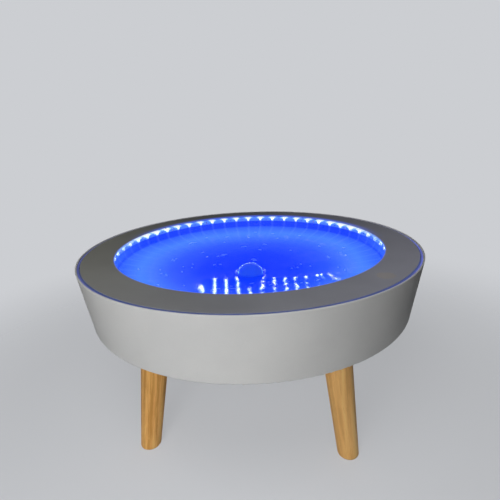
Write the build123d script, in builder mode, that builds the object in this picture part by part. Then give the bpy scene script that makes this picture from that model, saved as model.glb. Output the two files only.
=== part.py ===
"""Round light-up table: a white drum with a lit basin under a glass top, on four splayed legs.

Millimetres, +Z up. The origin is on the floor under the middle of the drum, and -Y is the front.
"""
import os
from math import atan, cos, degrees, hypot, pi, radians, sin, sqrt, tan

from build123d import *

os.makedirs("parts", exist_ok=True)

# Drum
table_diameter = 650.0
table_height = 343.0
drum_height = 109.0
drum_taper = 14.8
shell_wall = 2.8
shell_corner_radius = 5.0
lip_rounding = 0.9
cut_overrun = 5.0
part_clearance = 0.3
bore_clearance = 0.05

# Glass top and its grey border
top_recess = 0.5
edge_gap = 3.0
border_thickness = 0.8
rim_width = 64.0
glass_thickness = 5.0
glass_edge_radius = 1.0

# Gasket and carrier ring under the glass
gasket_thickness = 3.2
gasket_width = 13.0
gasket_rise = 6.8
carrier_thickness = 12.0
carrier_clearance = 3.0
lead_notch_width = 14.0
lead_notch_depth = 22.0

# Basin
basin_wall = 2.5
basin_setback = 3.4
basin_flange_width = 16.6
basin_lip_radius = 0.8
basin_wall_height = 25.0
basin_wall_draft = 3.0
basin_land_radius = 6.0
basin_corner_radius = 12.0
dish_drop = 36.0
dish_edge_angle = 12.0
dish_shoulder = 20.0
waste_seat_radius = 34.0

# Light strip on the basin wall
segment_length = 100.0
leds_per_segment = 3
strip_width = 8.0
strip_thickness = 0.5
strip_drop = 0.1
strip_margin = 1.0
strip_middle_angle = 99.8
chip_side = 5.0
chip_height = 1.5
chip_lens_radius = 1.9
chip_lens_depth = 0.4
resistor_length = 3.2
resistor_width = 1.6
resistor_height = 0.6

# Base board and posts
board_thickness = 9.0
board_edge_clearance = 8.0
post_count = 8
post_inset = 33.0
post_diameter = 24.0
post_pilot_depth = 20.0

# Legs: each axis starts inside the drum's edge and leans out by the spread
leg_inset = 92.2
leg_spread = 39.5
leg_top_diameter = 53.3
leg_foot_diameter = 36.7
leg_foot_rounding = 4.0
leg_shoulder_chamfer = 1.2
leg_plate_side = 62.0
leg_plate_corner = 6.0
leg_plate_thickness = 2.0
leg_plate_hole_pitch = 46.0
leg_hub_diameter = 30.0
leg_hub_height = 9.0
hanger_bolt_diameter = 8.0
hanger_bolt_grip = 32.0
bolt_chamfer = 0.8

# Screws
screw_shank_diameter = 3.8
screw_head_diameter = 7.2
screw_head_height = 2.4
screw_slot_width = 1.0
screw_tip_height = 3.0
plate_screw_length = 13.0
post_screw_length = 30.0
carrier_screw_length = 26.0
flush_screw_shank_diameter = 3.2
flush_screw_head_diameter = 6.4
flush_screw_head_height = 1.8
flush_screw_length = 12.0
basin_screw_count = 8
basin_screw_angle = 11.25

# Push-open waste in the middle of the basin
waste_flange_diameter = 66.0
waste_flange_thickness = 2.0
waste_bore_diameter = 32.0
waste_tail_diameter = 38.0
waste_tail_reach = 14.0
spider_depth = 14.0
spider_height = 6.0
spider_boss_diameter = 12.0
spider_arm_width = 3.0
washer_width = 8.0
washer_thickness = 2.5
waste_nut_span = 52.0
waste_nut_height = 8.0
tail_hole_clearance = 3.0
cap_diameter = 58.0
cap_height = 17.5
cap_wall = 1.6
cap_lift = 0.5
cap_seal_width = 5.0
cap_seal_thickness = 2.5
spindle_diameter = 6.0
spindle_foot_diameter = 9.0
spindle_foot_height = 2.0
plug_travel = 8.0
hose_tail_wall = 3.0
hose_tail_grip = 11.0
hose_bore_diameter = 14.0
hose_spigot_diameter = 19.0
hose_spigot_length = 26.0
hose_seal_thickness = 2.0

# Switch under the drum
bay_inset = 105.2
switch_offset = 75.0
rocker_length = 15.0
rocker_width = 9.0
rocker_tilt = 11.0
rocker_rise = 3.2
rocker_depth = 5.0
rocker_pin_diameter = 2.0
rocker_clearance = 0.4
rocker_back_share = 0.8
switch_wall = 1.3
switch_bezel = 2.0
switch_bezel_margin = 2.0
switch_body_height = 20.0
pin_depth = 3.0
tab_width = 4.8
tab_thickness = 0.8
tab_height = 10.0
tab_pitch = 12.0
board_opening_margin = 5.0

# Supply socket under the drum
socket_row = 40.0
socket_flange_diameter = 14.0
socket_flange_thickness = 2.0
socket_barrel_diameter = 11.0
socket_barrel_height = 15.0
socket_bore_diameter = 6.2
socket_bore_depth = 10.0
socket_pin_diameter = 2.1
socket_nut_span = 14.0
socket_nut_height = 3.0

# Light controller on the base board
controller_length = 62.0
controller_width = 36.0
controller_height = 20.0
controller_wall = 1.8
controller_lid_thickness = 2.0
controller_lug_length = 9.0
controller_lug_thickness = 2.5
controller_corner_radius = 3.0
circuit_board_thickness = 1.6
circuit_board_height = 4.0
driver_chip_length = 12.0
driver_chip_width = 8.0
driver_chip_height = 2.5
capacitor_diameter = 8.0
capacitor_height = 9.0
terminal_block_length = 10.0

# Leads held inside the drum
lead_diameter = 3.6
lead_height = 6.0
lead_gap = 18.0
lead_stub = 11.0
lead_shift = 6.0
grommet_wall = 1.0
clip_length = 8.0
clip_margin = 3.0
clip_share = 0.26
arc_share = 0.45

# Levels, from the top down
drum_bottom_z = table_height - drum_height
shell_floor_z = drum_bottom_z + shell_wall
board_top_z = shell_floor_z + board_thickness
border_top_z = table_height - top_recess
glass_top_z = border_top_z - border_thickness
glass_bottom_z = glass_top_z - glass_thickness
carrier_top_z = glass_bottom_z - gasket_thickness
carrier_bottom_z = carrier_top_z - carrier_thickness
flange_top_z = carrier_top_z + basin_wall
wall_foot_z = flange_top_z - basin_wall_height
waste_seat_z = wall_foot_z - dish_drop

# Radii shared between pieces
table_radius = table_diameter / 2
drum_base_radius = table_radius - drum_taper
wall_slope = drum_taper / drum_height
wall_skew = shell_wall * hypot(1, wall_slope)


def inner_radius(height: float) -> float:
    """Radius of the shell's inside face at a height."""
    return table_radius - (table_height - height) * wall_slope - wall_skew


glass_radius = inner_radius(glass_bottom_z) - edge_gap
window_radius = table_radius - rim_width
basin_radius = window_radius + basin_setback
flange_radius = basin_radius + basin_flange_width
carrier_bore_radius = basin_radius + basin_wall + carrier_clearance
waste_hole_radius = waste_tail_diameter / 2 + part_clearance
tail_hole_radius = waste_tail_diameter / 2 + tail_hole_clearance
post_circle_radius = table_radius - post_inset
leg_circle_radius = drum_base_radius - leg_inset
bay_radius = drum_base_radius - bay_inset
lug_pitch = controller_length + controller_lug_length
lead_radius = lead_diameter / 2
grommet_radius = lead_radius + bore_clearance + grommet_wall
lead_z = carrier_top_z - grommet_radius - part_clearance
front = -90


def radial_plane(angle: float) -> Plane:
    """Upright plane through the table's axis, its x pointing out at an angle and its y up."""
    out = (cos(radians(angle)), sin(radians(angle)), 0)
    return Plane(origin=(0, 0, 0), x_dir=out, z_dir=(out[1], -out[0], 0))


def save(piece: BuildPart, name: str) -> None:
    """Label a finished piece and write it as its own STEP file."""
    piece.part.label = name
    export_step(piece.part, f"parts/{name}.step")


# Screws and nuts, made once and placed where they are used
def pan_screw(length: float) -> Part:
    """Pan-head screw driven upwards: its head hangs under z = 0."""
    shank_radius = screw_shank_diameter / 2
    with BuildPart() as screw:
        with BuildSketch(Plane.XZ):
            with BuildLine():
                FilletPolyline(
                    (0, -screw_head_height),
                    (screw_head_diameter / 2, -screw_head_height),
                    (screw_head_diameter / 2, 0),
                    radius=screw_head_height / 2,
                )
                Polyline(
                    (screw_head_diameter / 2, 0),
                    (shank_radius, 0),
                    (shank_radius, length - screw_tip_height),
                    (0, length),
                    (0, -screw_head_height),
                )
            make_face()
        revolve(axis=Axis.Z)
        with BuildSketch(Plane.XY.offset(-screw_head_height)):
            Rectangle(screw_head_diameter / 2, screw_slot_width)
            Rectangle(screw_slot_width, screw_head_diameter / 2)
        extrude(amount=screw_head_height / 2, mode=Mode.SUBTRACT)
    return screw.part


def flush_screw(length: float) -> Part:
    """Countersunk screw driven downwards: the top of its head is at z = 0."""
    head_radius = flush_screw_head_diameter / 2
    shank_radius = flush_screw_shank_diameter / 2
    with BuildPart() as screw:
        with BuildSketch(Plane.XZ):
            with BuildLine():
                Polyline(
                    (0, 0),
                    (head_radius, 0),
                    (shank_radius, -flush_screw_head_height),
                    (shank_radius, screw_tip_height - length),
                    (0, -length),
                    close=True,
                )
            make_face()
        revolve(axis=Axis.Z)
        with BuildSketch(Plane.XY):
            Rectangle(flush_screw_head_diameter / 2, screw_slot_width)
            Rectangle(screw_slot_width, flush_screw_head_diameter / 2)
        extrude(amount=-flush_screw_head_height / 2, mode=Mode.SUBTRACT)
    return screw.part


with BuildPart() as seat_cutter:
    with BuildSketch(Plane.XZ):
        with BuildLine():
            Polyline(
                (0, 0),
                (flush_screw_head_diameter / 2 + bore_clearance, 0),
                (flush_screw_shank_diameter / 2 + bore_clearance, -flush_screw_head_height),
                (flush_screw_shank_diameter / 2 + bore_clearance, -flush_screw_length),
                (0, -flush_screw_length),
                close=True,
            )
        make_face()
    revolve(axis=Axis.Z)
screw_seat = seat_cutter.part

# Shell
leg_circle = PolarLocations(leg_circle_radius, 4, start_angle=front + 45)
post_spots = PolarLocations(post_circle_radius, post_count, start_angle=front + 180 / post_count)
switch_length = 2 * (hypot(rocker_length / 2, rocker_rise + rocker_length / 2 * tan(radians(rocker_tilt)))
                     + rocker_clearance + switch_wall)
switch_width = rocker_width + 2 * (rocker_clearance + switch_wall)
basin_screw_spots = PolarLocations(
    flange_radius - basin_flange_width / 3, basin_screw_count, start_angle=front + basin_screw_angle
)
switch_spot = Location((-switch_offset, -bay_radius))
socket_spot = Location((-switch_offset, -bay_radius - socket_row))

with BuildPart() as shell:
    with BuildSketch(Plane.XZ):
        with BuildLine():
            FilletPolyline(
                (0, drum_bottom_z),
                (drum_base_radius, drum_bottom_z),
                (table_radius, table_height),
                radius=shell_corner_radius,
            )
            offset(amount=shell_wall, side=Side.LEFT)
        make_face()
    revolve(axis=Axis.Z)
    split(bisect_by=Plane.XY.offset(table_height), keep=Keep.BOTTOM)
    fillet(shell.edges().group_by(Axis.Z)[-1], min(lip_rounding, shell_wall / 3))
    with BuildSketch(Plane.XY.offset(shell_floor_z)):
        Circle(tail_hole_radius)
        with Locations(switch_spot):
            Rectangle(switch_length + 2 * bore_clearance, switch_width + 2 * bore_clearance)
        with Locations(socket_spot):
            Circle(socket_barrel_diameter / 2 + bore_clearance)
        with leg_circle:
            with GridLocations(leg_plate_hole_pitch, leg_plate_hole_pitch, 2, 2):
                Circle(screw_shank_diameter / 2 + bore_clearance)
        with post_spots:
            Circle(screw_shank_diameter / 2 + bore_clearance)
    extrude(amount=-shell_wall, mode=Mode.SUBTRACT)
save(shell, "shell")

# Base board on the shell's floor
with BuildPart() as base_board:
    with BuildSketch(Plane.XY.offset(shell_floor_z)):
        Circle(inner_radius(shell_floor_z) - board_edge_clearance)
        Circle(tail_hole_radius, mode=Mode.SUBTRACT)
        with Locations(switch_spot):
            Rectangle(
                switch_length + 2 * board_opening_margin,
                switch_width + 2 * board_opening_margin,
                mode=Mode.SUBTRACT,
            )
        with Locations(socket_spot):
            Circle(socket_nut_span / 2 + board_opening_margin, mode=Mode.SUBTRACT)
        with leg_circle:
            with GridLocations(leg_plate_hole_pitch, leg_plate_hole_pitch, 2, 2):
                Circle(screw_shank_diameter / 2 + bore_clearance, mode=Mode.SUBTRACT)
        with post_spots:
            Circle(screw_shank_diameter / 2 + bore_clearance, mode=Mode.SUBTRACT)
        with Locations((0, -bay_radius)):
            with GridLocations(lug_pitch, lug_pitch, 2, 1):
                Circle(flush_screw_shank_diameter / 2 + bore_clearance, mode=Mode.SUBTRACT)
    extrude(amount=board_thickness)
save(base_board, "base_board")

# Posts between the base board and the carrier ring
with BuildPart() as support_posts:
    with BuildSketch(Plane.XY.offset(board_top_z)):
        with post_spots:
            Circle(post_diameter / 2)
    extrude(amount=carrier_bottom_z - board_top_z)
    with BuildSketch(Plane.XY.offset(board_top_z)):
        with post_spots:
            Circle(screw_shank_diameter / 2 + bore_clearance)
    extrude(amount=post_pilot_depth, mode=Mode.SUBTRACT)
    with BuildSketch(Plane.XY.offset(carrier_bottom_z)):
        with post_spots:
            Circle(screw_shank_diameter / 2 + bore_clearance)
    extrude(amount=-post_pilot_depth, mode=Mode.SUBTRACT)
save(support_posts, "support_posts")

post_screw = pan_screw(post_screw_length)
with BuildPart() as post_screws:
    with post_spots:
        with Locations((0, 0, drum_bottom_z)):
            add(post_screw)
save(post_screws, "post_screws")

carrier_screw = pan_screw(carrier_screw_length).rotate(Axis.X, 180)
with BuildPart() as carrier_screws:
    with post_spots:
        with Locations((0, 0, carrier_top_z)):
            add(carrier_screw)
save(carrier_screws, "carrier_screws")

# Carrier ring under the rim: it holds the gasket, the glass and the basin's flange
with BuildPart() as carrier_ring:
    with BuildSketch(Plane.XZ):
        with BuildLine():
            Polyline(
                (carrier_bore_radius, carrier_bottom_z),
                (inner_radius(carrier_bottom_z) - part_clearance, carrier_bottom_z),
                (inner_radius(carrier_top_z) - part_clearance, carrier_top_z),
                (carrier_bore_radius, carrier_top_z),
                close=True,
            )
        make_face()
    revolve(axis=Axis.Z)
    with BuildSketch(Plane.XY.offset(carrier_bottom_z)):
        with Locations((0, -carrier_bore_radius)):
            Rectangle(lead_notch_width, 2 * lead_notch_depth)
        with post_spots:
            Circle(screw_shank_diameter / 2 + bore_clearance)
        with basin_screw_spots:
            Circle(flush_screw_shank_diameter / 2 + bore_clearance)
    extrude(amount=carrier_thickness, mode=Mode.SUBTRACT)
save(carrier_ring, "carrier_ring")

# Basin: flange, upright land for the light strip, drafted wall and dished floor
wall_foot_radius = basin_radius - basin_wall_draft
shoulder_radius = wall_foot_radius - dish_shoulder
shoulder_z = wall_foot_z - dish_shoulder * tan(radians(dish_edge_angle))
strip_top_z = flange_top_z - basin_lip_radius - strip_drop
with BuildPart() as basin:
    with BuildSketch(Plane.XZ):
        with BuildLine():
            FilletPolyline(
                (flange_radius, flange_top_z),
                (basin_radius, flange_top_z),
                (basin_radius, strip_top_z - strip_width - strip_margin),
                (wall_foot_radius, wall_foot_z),
                (shoulder_radius, shoulder_z),
                radius=[basin_lip_radius, basin_land_radius, basin_corner_radius],
            )
            TangentArc(
                (shoulder_radius, shoulder_z),
                (waste_seat_radius, waste_seat_z),
                tangent=(-cos(radians(dish_edge_angle)), -sin(radians(dish_edge_angle))),
            )
            Line((waste_seat_radius, waste_seat_z), (waste_hole_radius, waste_seat_z))
            offset(amount=basin_wall, side=Side.LEFT)
        make_face()
    revolve(axis=Axis.Z)
    with BuildSketch(Plane.XZ.offset(basin_radius - cut_overrun)):
        with Locations((0, lead_z)):
            Circle(grommet_radius + bore_clearance)
    extrude(amount=basin_wall + 2 * cut_overrun, mode=Mode.SUBTRACT)
    with basin_screw_spots:
        with Locations((0, 0, flange_top_z)):
            add(screw_seat, mode=Mode.SUBTRACT)
save(basin, "basin")

basin_screw = flush_screw(flush_screw_length)
with BuildPart() as basin_screws:
    with basin_screw_spots:
        with Locations((0, 0, flange_top_z)):
            add(basin_screw)
save(basin_screws, "basin_screws")

# Gasket: a flat base under the glass and a rise that fills the gap round its edge
with BuildPart() as glass_gasket:
    with BuildSketch(Plane.XZ):
        with BuildLine():
            Polyline(
                (glass_radius - gasket_width, carrier_top_z),
                (inner_radius(carrier_top_z) - part_clearance, carrier_top_z),
                (inner_radius(carrier_top_z + gasket_rise) - part_clearance, carrier_top_z + gasket_rise),
                (glass_radius + part_clearance, carrier_top_z + gasket_rise),
                (glass_radius + part_clearance, glass_bottom_z),
                (glass_radius - gasket_width, glass_bottom_z),
                close=True,
            )
        make_face()
    revolve(axis=Axis.Z)
save(glass_gasket, "glass_gasket")

# Glass top with its ground edge, and the grey border bonded on it
with BuildPart() as glass_top:
    with BuildSketch(Plane.XY.offset(glass_bottom_z)):
        Circle(glass_radius)
    extrude(amount=glass_thickness)
    fillet(glass_top.edges(), glass_edge_radius)
save(glass_top, "glass_top")

with BuildPart() as border_ring:
    with BuildSketch(Plane.XY.offset(glass_top_z)):
        Circle(glass_radius - glass_edge_radius)
        Circle(window_radius, mode=Mode.SUBTRACT)
    extrude(amount=border_thickness)
    chamfer(border_ring.edges().group_by(Axis.Z)[-1], border_thickness / 3)
save(border_ring, "border_ring")

# Light strip: a flexible circuit round the basin wall, open at the front where its lead joins it
segment_count = int(2 * pi * basin_radius / segment_length)
led_count = segment_count * leds_per_segment
strip_angle = degrees(segment_count * segment_length / basin_radius)
strip_start_angle = strip_middle_angle - strip_angle / 2
led_step_angle = strip_angle / led_count
strip_outer_radius = basin_radius - bore_clearance
strip_face_radius = strip_outer_radius - strip_thickness
strip_middle_z = strip_top_z - strip_width / 2
with BuildPart() as led_strip:
    with BuildSketch(radial_plane(strip_start_angle)):
        with Locations((strip_outer_radius - strip_thickness / 2, strip_middle_z)):
            Rectangle(strip_thickness, strip_width)
    revolve(axis=Axis.Z, revolution_arc=strip_angle)
save(led_strip, "led_strip")

chip_back_radius = sqrt(strip_face_radius**2 - (chip_side / 2) ** 2) - bore_clearance
chip_face = Plane.YZ.offset(chip_back_radius - chip_height)
with BuildPart() as led_blank:
    with BuildSketch(chip_face):
        with Locations((0, strip_middle_z)):
            RectangleRounded(chip_side, chip_side, chip_side / 10)
    extrude(amount=chip_height)
    with BuildSketch(chip_face):
        with Locations((0, strip_middle_z)):
            Circle(chip_lens_radius)
    extrude(amount=chip_lens_depth, mode=Mode.SUBTRACT)
with BuildPart() as led_chips:
    with PolarLocations(0, led_count, strip_start_angle + led_step_angle / 2, strip_angle, endpoint=False):
        add(led_blank.part)
save(led_chips, "led_chips")

with BuildPart() as resistor_blank:
    with BuildSketch(Plane.YZ.offset(chip_back_radius - resistor_height)):
        with Locations((0, strip_middle_z)):
            Rectangle(resistor_length, resistor_width)
    extrude(amount=resistor_height)
with BuildPart() as strip_resistors:
    with PolarLocations(0, segment_count, strip_start_angle + led_step_angle, strip_angle, endpoint=False):
        add(resistor_blank.part)
save(strip_resistors, "strip_resistors")

# Waste: a flanged body through the basin, its washers, back nut and hose tail
flange_face_z = waste_seat_z + waste_flange_thickness
tail_bottom_z = drum_bottom_z - waste_tail_reach
boss_top_z = flange_face_z - spider_depth
tail_radius = waste_tail_diameter / 2
with BuildPart() as waste_body:
    with BuildSketch(Plane.XZ):
        with BuildLine():
            Polyline(
                (waste_bore_diameter / 2, tail_bottom_z),
                (tail_radius, tail_bottom_z),
                (tail_radius, waste_seat_z),
                (waste_flange_diameter / 2, waste_seat_z),
                (waste_flange_diameter / 2, flange_face_z),
                (waste_bore_diameter / 2, flange_face_z),
                close=True,
            )
        make_face()
    revolve(axis=Axis.Z)
    fillet(waste_body.edges().group_by(Axis.Z)[-1].sort_by(SortBy.RADIUS)[-1], waste_flange_thickness / 3)
    with BuildSketch(Plane.XY.offset(boss_top_z)):
        Circle(spider_boss_diameter / 2)
        Rectangle(waste_bore_diameter, spider_arm_width)
        Rectangle(spider_arm_width, waste_bore_diameter)
        Circle(spindle_diameter / 2 + bore_clearance, mode=Mode.SUBTRACT)
    extrude(amount=-spider_height)
save(waste_body, "waste_body")

basin_underside_z = waste_seat_z - basin_wall
with BuildPart() as waste_washer:
    with BuildSketch(Plane.XY.offset(basin_underside_z)):
        Circle(tail_radius + washer_width)
        Circle(tail_radius + bore_clearance, mode=Mode.SUBTRACT)
    extrude(amount=-washer_thickness)
save(waste_washer, "waste_washer")

nut_top_z = basin_underside_z - washer_thickness
with BuildPart() as waste_nut:
    with BuildSketch(Plane.XY.offset(nut_top_z)):
        RegularPolygon(waste_nut_span / 2, 6, major_radius=False)
        Circle(tail_radius + bore_clearance, mode=Mode.SUBTRACT)
    extrude(amount=-waste_nut_height)
    chamfer(waste_nut.edges().group_by(Axis.Z)[0].filter_by(GeomType.LINE), bolt_chamfer)
save(waste_nut, "waste_nut")

hose_seal_z = tail_bottom_z - hose_seal_thickness
hose_end_z = hose_seal_z - hose_tail_wall - hose_spigot_length
with BuildPart() as hose_seal:
    with BuildSketch(Plane.XY.offset(tail_bottom_z)):
        Circle(tail_radius)
        Circle(hose_bore_diameter / 2, mode=Mode.SUBTRACT)
    extrude(amount=-hose_seal_thickness)
save(hose_seal, "hose_seal")

with BuildPart() as hose_tail:
    with BuildSketch(Plane.XZ):
        with BuildLine():
            Polyline(
                (hose_bore_diameter / 2, hose_seal_z),
                (tail_radius + bore_clearance, hose_seal_z),
                (tail_radius + bore_clearance, tail_bottom_z + hose_tail_grip),
                (tail_radius + hose_tail_wall, tail_bottom_z + hose_tail_grip),
                (tail_radius + hose_tail_wall, hose_seal_z - hose_tail_wall),
                (hose_spigot_diameter / 2, hose_seal_z - hose_tail_wall),
                (hose_spigot_diameter / 2, hose_end_z),
                (hose_bore_diameter / 2, hose_end_z),
                close=True,
            )
        make_face()
    revolve(axis=Axis.Z)
    chamfer(hose_tail.edges().group_by(Axis.Z)[0].sort_by(SortBy.RADIUS)[-1], bolt_chamfer)
save(hose_tail, "hose_tail")

# Push-open plug: domed cap, seal and spindle
cap_base_z = flange_face_z + cap_lift
cap_radius = cap_diameter / 2
cap_sphere_radius = (cap_radius**2 + cap_height**2) / (2 * cap_height)
cap_top_z = cap_base_z + cap_height
seal_top_z = flange_face_z + cap_seal_thickness
with BuildPart() as plug_cap:
    with BuildSketch(Plane.XZ):
        with BuildLine():
            Line((0, seal_top_z), (0, cap_top_z))
            RadiusArc((0, cap_top_z), (cap_radius, cap_base_z), cap_sphere_radius)
            Line((cap_radius, cap_base_z), (cap_radius - cap_wall, cap_base_z))
            Line((cap_radius - cap_wall, cap_base_z), (cap_radius - 2 * cap_wall, seal_top_z))
            Line((cap_radius - 2 * cap_wall, seal_top_z), (0, seal_top_z))
        make_face()
    revolve(axis=Axis.Z)
save(plug_cap, "plug_cap")

with BuildPart() as plug_seal:
    with BuildSketch(Plane.XY.offset(flange_face_z)):
        Circle(waste_bore_diameter / 2 + cap_seal_width)
        Circle(waste_bore_diameter / 2 - cap_seal_width, mode=Mode.SUBTRACT)
    extrude(amount=cap_seal_thickness)
save(plug_seal, "plug_seal")

spindle_foot_z = boss_top_z - spider_height - plug_travel
with BuildPart() as plug_spindle:
    with BuildSketch(Plane.XY.offset(seal_top_z)):
        Circle(spindle_diameter / 2)
    extrude(amount=spindle_foot_z - seal_top_z)
    with BuildSketch(Plane.XY.offset(spindle_foot_z)):
        Circle(spindle_foot_diameter / 2)
    extrude(amount=-spindle_foot_height)
save(plug_spindle, "plug_spindle")

# Legs: turned tapers on angled plates, cut level at the floor
splay = atan(leg_spread / drum_bottom_z)
leg_axis = Plane(
    origin=(leg_circle_radius, 0, drum_bottom_z),
    x_dir=(cos(splay), 0, sin(splay)),
    z_dir=(sin(splay), 0, -cos(splay)),
)
leg_reach = drum_bottom_z / cos(splay)
leg_taper = (leg_top_diameter - leg_foot_diameter) / 2 / leg_reach
leg_overrun = leg_foot_diameter * tan(splay)
leg_angles = {"front_left": -135, "front_right": -45, "rear_right": 45, "rear_left": 135}
bolt_radius = hanger_bolt_diameter / 2

with BuildPart() as plate_blank:
    with BuildSketch(Plane.XY.offset(drum_bottom_z)):
        with Locations((leg_circle_radius, 0)):
            RectangleRounded(leg_plate_side, leg_plate_side, leg_plate_corner)
            with GridLocations(leg_plate_hole_pitch, leg_plate_hole_pitch, 2, 2):
                Circle(screw_shank_diameter / 2 + bore_clearance, mode=Mode.SUBTRACT)
    extrude(amount=-leg_plate_thickness)
    with BuildSketch(leg_axis):
        Circle(leg_hub_diameter / 2)
    extrude(amount=leg_hub_height, both=True)
    split(bisect_by=Plane.XY.offset(drum_bottom_z), keep=Keep.BOTTOM)
    with BuildSketch(leg_axis):
        Circle(bolt_radius + bore_clearance)
    extrude(amount=leg_hub_height, both=True, mode=Mode.SUBTRACT)
with BuildPart() as leg_plates:
    with PolarLocations(0, len(leg_angles), start_angle=front + 45):
        add(plate_blank.part)
save(leg_plates, "leg_plates")

plate_screw = pan_screw(plate_screw_length)
with BuildPart() as leg_plate_screws:
    with leg_circle:
        with GridLocations(leg_plate_hole_pitch, leg_plate_hole_pitch, 2, 2):
            with Locations((0, 0, drum_bottom_z - leg_plate_thickness)):
                add(plate_screw)
save(leg_plate_screws, "leg_plate_screws")

with BuildPart() as bolt_blank:
    with BuildSketch(leg_axis.offset(leg_plate_thickness)):
        Circle(bolt_radius)
    extrude(amount=leg_hub_height - leg_plate_thickness + hanger_bolt_grip)
    chamfer(bolt_blank.edges().filter_by(GeomType.CIRCLE), bolt_chamfer)
with BuildPart() as hanger_bolts:
    with PolarLocations(0, len(leg_angles), start_angle=front + 45):
        add(bolt_blank.part)
save(hanger_bolts, "hanger_bolts")

with BuildPart() as leg_blank:
    with BuildSketch(leg_axis.offset(leg_hub_height)):
        Circle(leg_top_diameter / 2 - leg_taper * leg_hub_height)
    with BuildSketch(leg_axis.offset(leg_reach + leg_overrun)):
        Circle(leg_foot_diameter / 2 - leg_taper * leg_overrun)
    loft()
    chamfer(leg_blank.edges().sort_by(Axis.Z)[-1], leg_shoulder_chamfer)
    split(bisect_by=Plane.XY, keep=Keep.TOP)
    fillet(leg_blank.edges().group_by(Axis.Z)[0], leg_foot_rounding)
    with BuildSketch(leg_axis.offset(leg_hub_height)):
        Circle(bolt_radius + bore_clearance)
    extrude(amount=hanger_bolt_grip, mode=Mode.SUBTRACT)
for name, angle in leg_angles.items():
    with BuildPart() as leg:
        with PolarLocations(0, 1, start_angle=angle):
            add(leg_blank.part)
    save(leg, f"leg_{name}")

# Rocker switch in the drum's floor
cavity_length = switch_length - 2 * switch_wall
cavity_width = switch_width - 2 * switch_wall
bezel_face_z = drum_bottom_z - switch_bezel
pin_z = bezel_face_z + pin_depth
switch_top_z = drum_bottom_z + switch_body_height
rocker_edge = rocker_rise + rocker_length / 2 * tan(radians(rocker_tilt))
cavity_depth = pin_depth + hypot(rocker_length / 2 * rocker_back_share, rocker_depth) + rocker_clearance
tilt = radians(rocker_tilt)
switch_plane = Plane(origin=(-switch_offset, -bay_radius, pin_z), x_dir=(1, 0, 0), z_dir=(0, -1, 0))
rocker_plane = Plane(origin=switch_plane.origin, x_dir=(cos(tilt), 0, sin(tilt)), z_dir=(0, -1, 0))
with BuildPart() as switch_housing:
    with BuildSketch(Plane.XY.offset(bezel_face_z)):
        with Locations(switch_spot):
            RectangleRounded(
                switch_length + 2 * switch_bezel_margin,
                switch_width + 2 * switch_bezel_margin,
                switch_bezel_margin,
            )
    extrude(amount=switch_bezel)
    fillet(switch_housing.edges().group_by(Axis.Z)[0], switch_bezel / 3)
    with BuildSketch(Plane.XY.offset(drum_bottom_z)):
        with Locations(switch_spot):
            Rectangle(switch_length, switch_width)
    extrude(amount=switch_body_height)
    with BuildSketch(Plane.XY.offset(bezel_face_z)):
        with Locations(switch_spot):
            Rectangle(cavity_length, cavity_width)
    extrude(amount=cavity_depth, mode=Mode.SUBTRACT)
    with BuildSketch(switch_plane):
        Circle(rocker_pin_diameter / 2 + bore_clearance)
    extrude(amount=cavity_width / 2 + switch_wall / 2, both=True, mode=Mode.SUBTRACT)
save(switch_housing, "switch_housing")

with BuildPart() as switch_rocker:
    with BuildSketch(rocker_plane):
        with BuildLine():
            Polyline(
                (-rocker_length / 2, -rocker_edge),
                (0, -rocker_rise),
                (rocker_length / 2, -rocker_edge),
                (rocker_length / 2 * rocker_back_share, rocker_depth),
                (-rocker_length / 2 * rocker_back_share, rocker_depth),
                close=True,
            )
        make_face()
    extrude(amount=rocker_width / 2, both=True)
    with BuildSketch(switch_plane):
        Circle(rocker_pin_diameter / 2)
    extrude(amount=cavity_width / 2 + switch_wall / 2 - bore_clearance, both=True)
save(switch_rocker, "switch_rocker")

with BuildPart() as switch_tabs:
    with BuildSketch(Plane.XY.offset(switch_top_z)):
        with Locations(switch_spot):
            with GridLocations(tab_pitch, tab_pitch, 2, 1):
                Rectangle(tab_thickness, tab_width)
    extrude(amount=tab_height)
save(switch_tabs, "switch_tabs")

# Supply socket in the drum's floor, with its nut inside
socket_face_z = drum_bottom_z - socket_flange_thickness
socket_top_z = drum_bottom_z + socket_barrel_height
with BuildPart() as supply_socket:
    with BuildSketch(Plane.XY.offset(socket_face_z)):
        with Locations(socket_spot):
            Circle(socket_flange_diameter / 2)
    extrude(amount=socket_flange_thickness)
    fillet(supply_socket.edges().group_by(Axis.Z)[0], socket_flange_thickness / 3)
    with BuildSketch(Plane.XY.offset(drum_bottom_z)):
        with Locations(socket_spot):
            Circle(socket_barrel_diameter / 2)
    extrude(amount=socket_barrel_height)
    with BuildSketch(Plane.XY.offset(socket_face_z)):
        with Locations(socket_spot):
            Circle(socket_bore_diameter / 2)
            Circle(socket_pin_diameter / 2, mode=Mode.SUBTRACT)
    extrude(amount=socket_bore_depth, mode=Mode.SUBTRACT)
save(supply_socket, "supply_socket")

with BuildPart() as socket_nut:
    with BuildSketch(Plane.XY.offset(shell_floor_z)):
        with Locations(socket_spot):
            RegularPolygon(socket_nut_span / 2, 6, major_radius=False)
            Circle(socket_barrel_diameter / 2 + bore_clearance, mode=Mode.SUBTRACT)
    extrude(amount=socket_nut_height)
save(socket_nut, "socket_nut")

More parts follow.
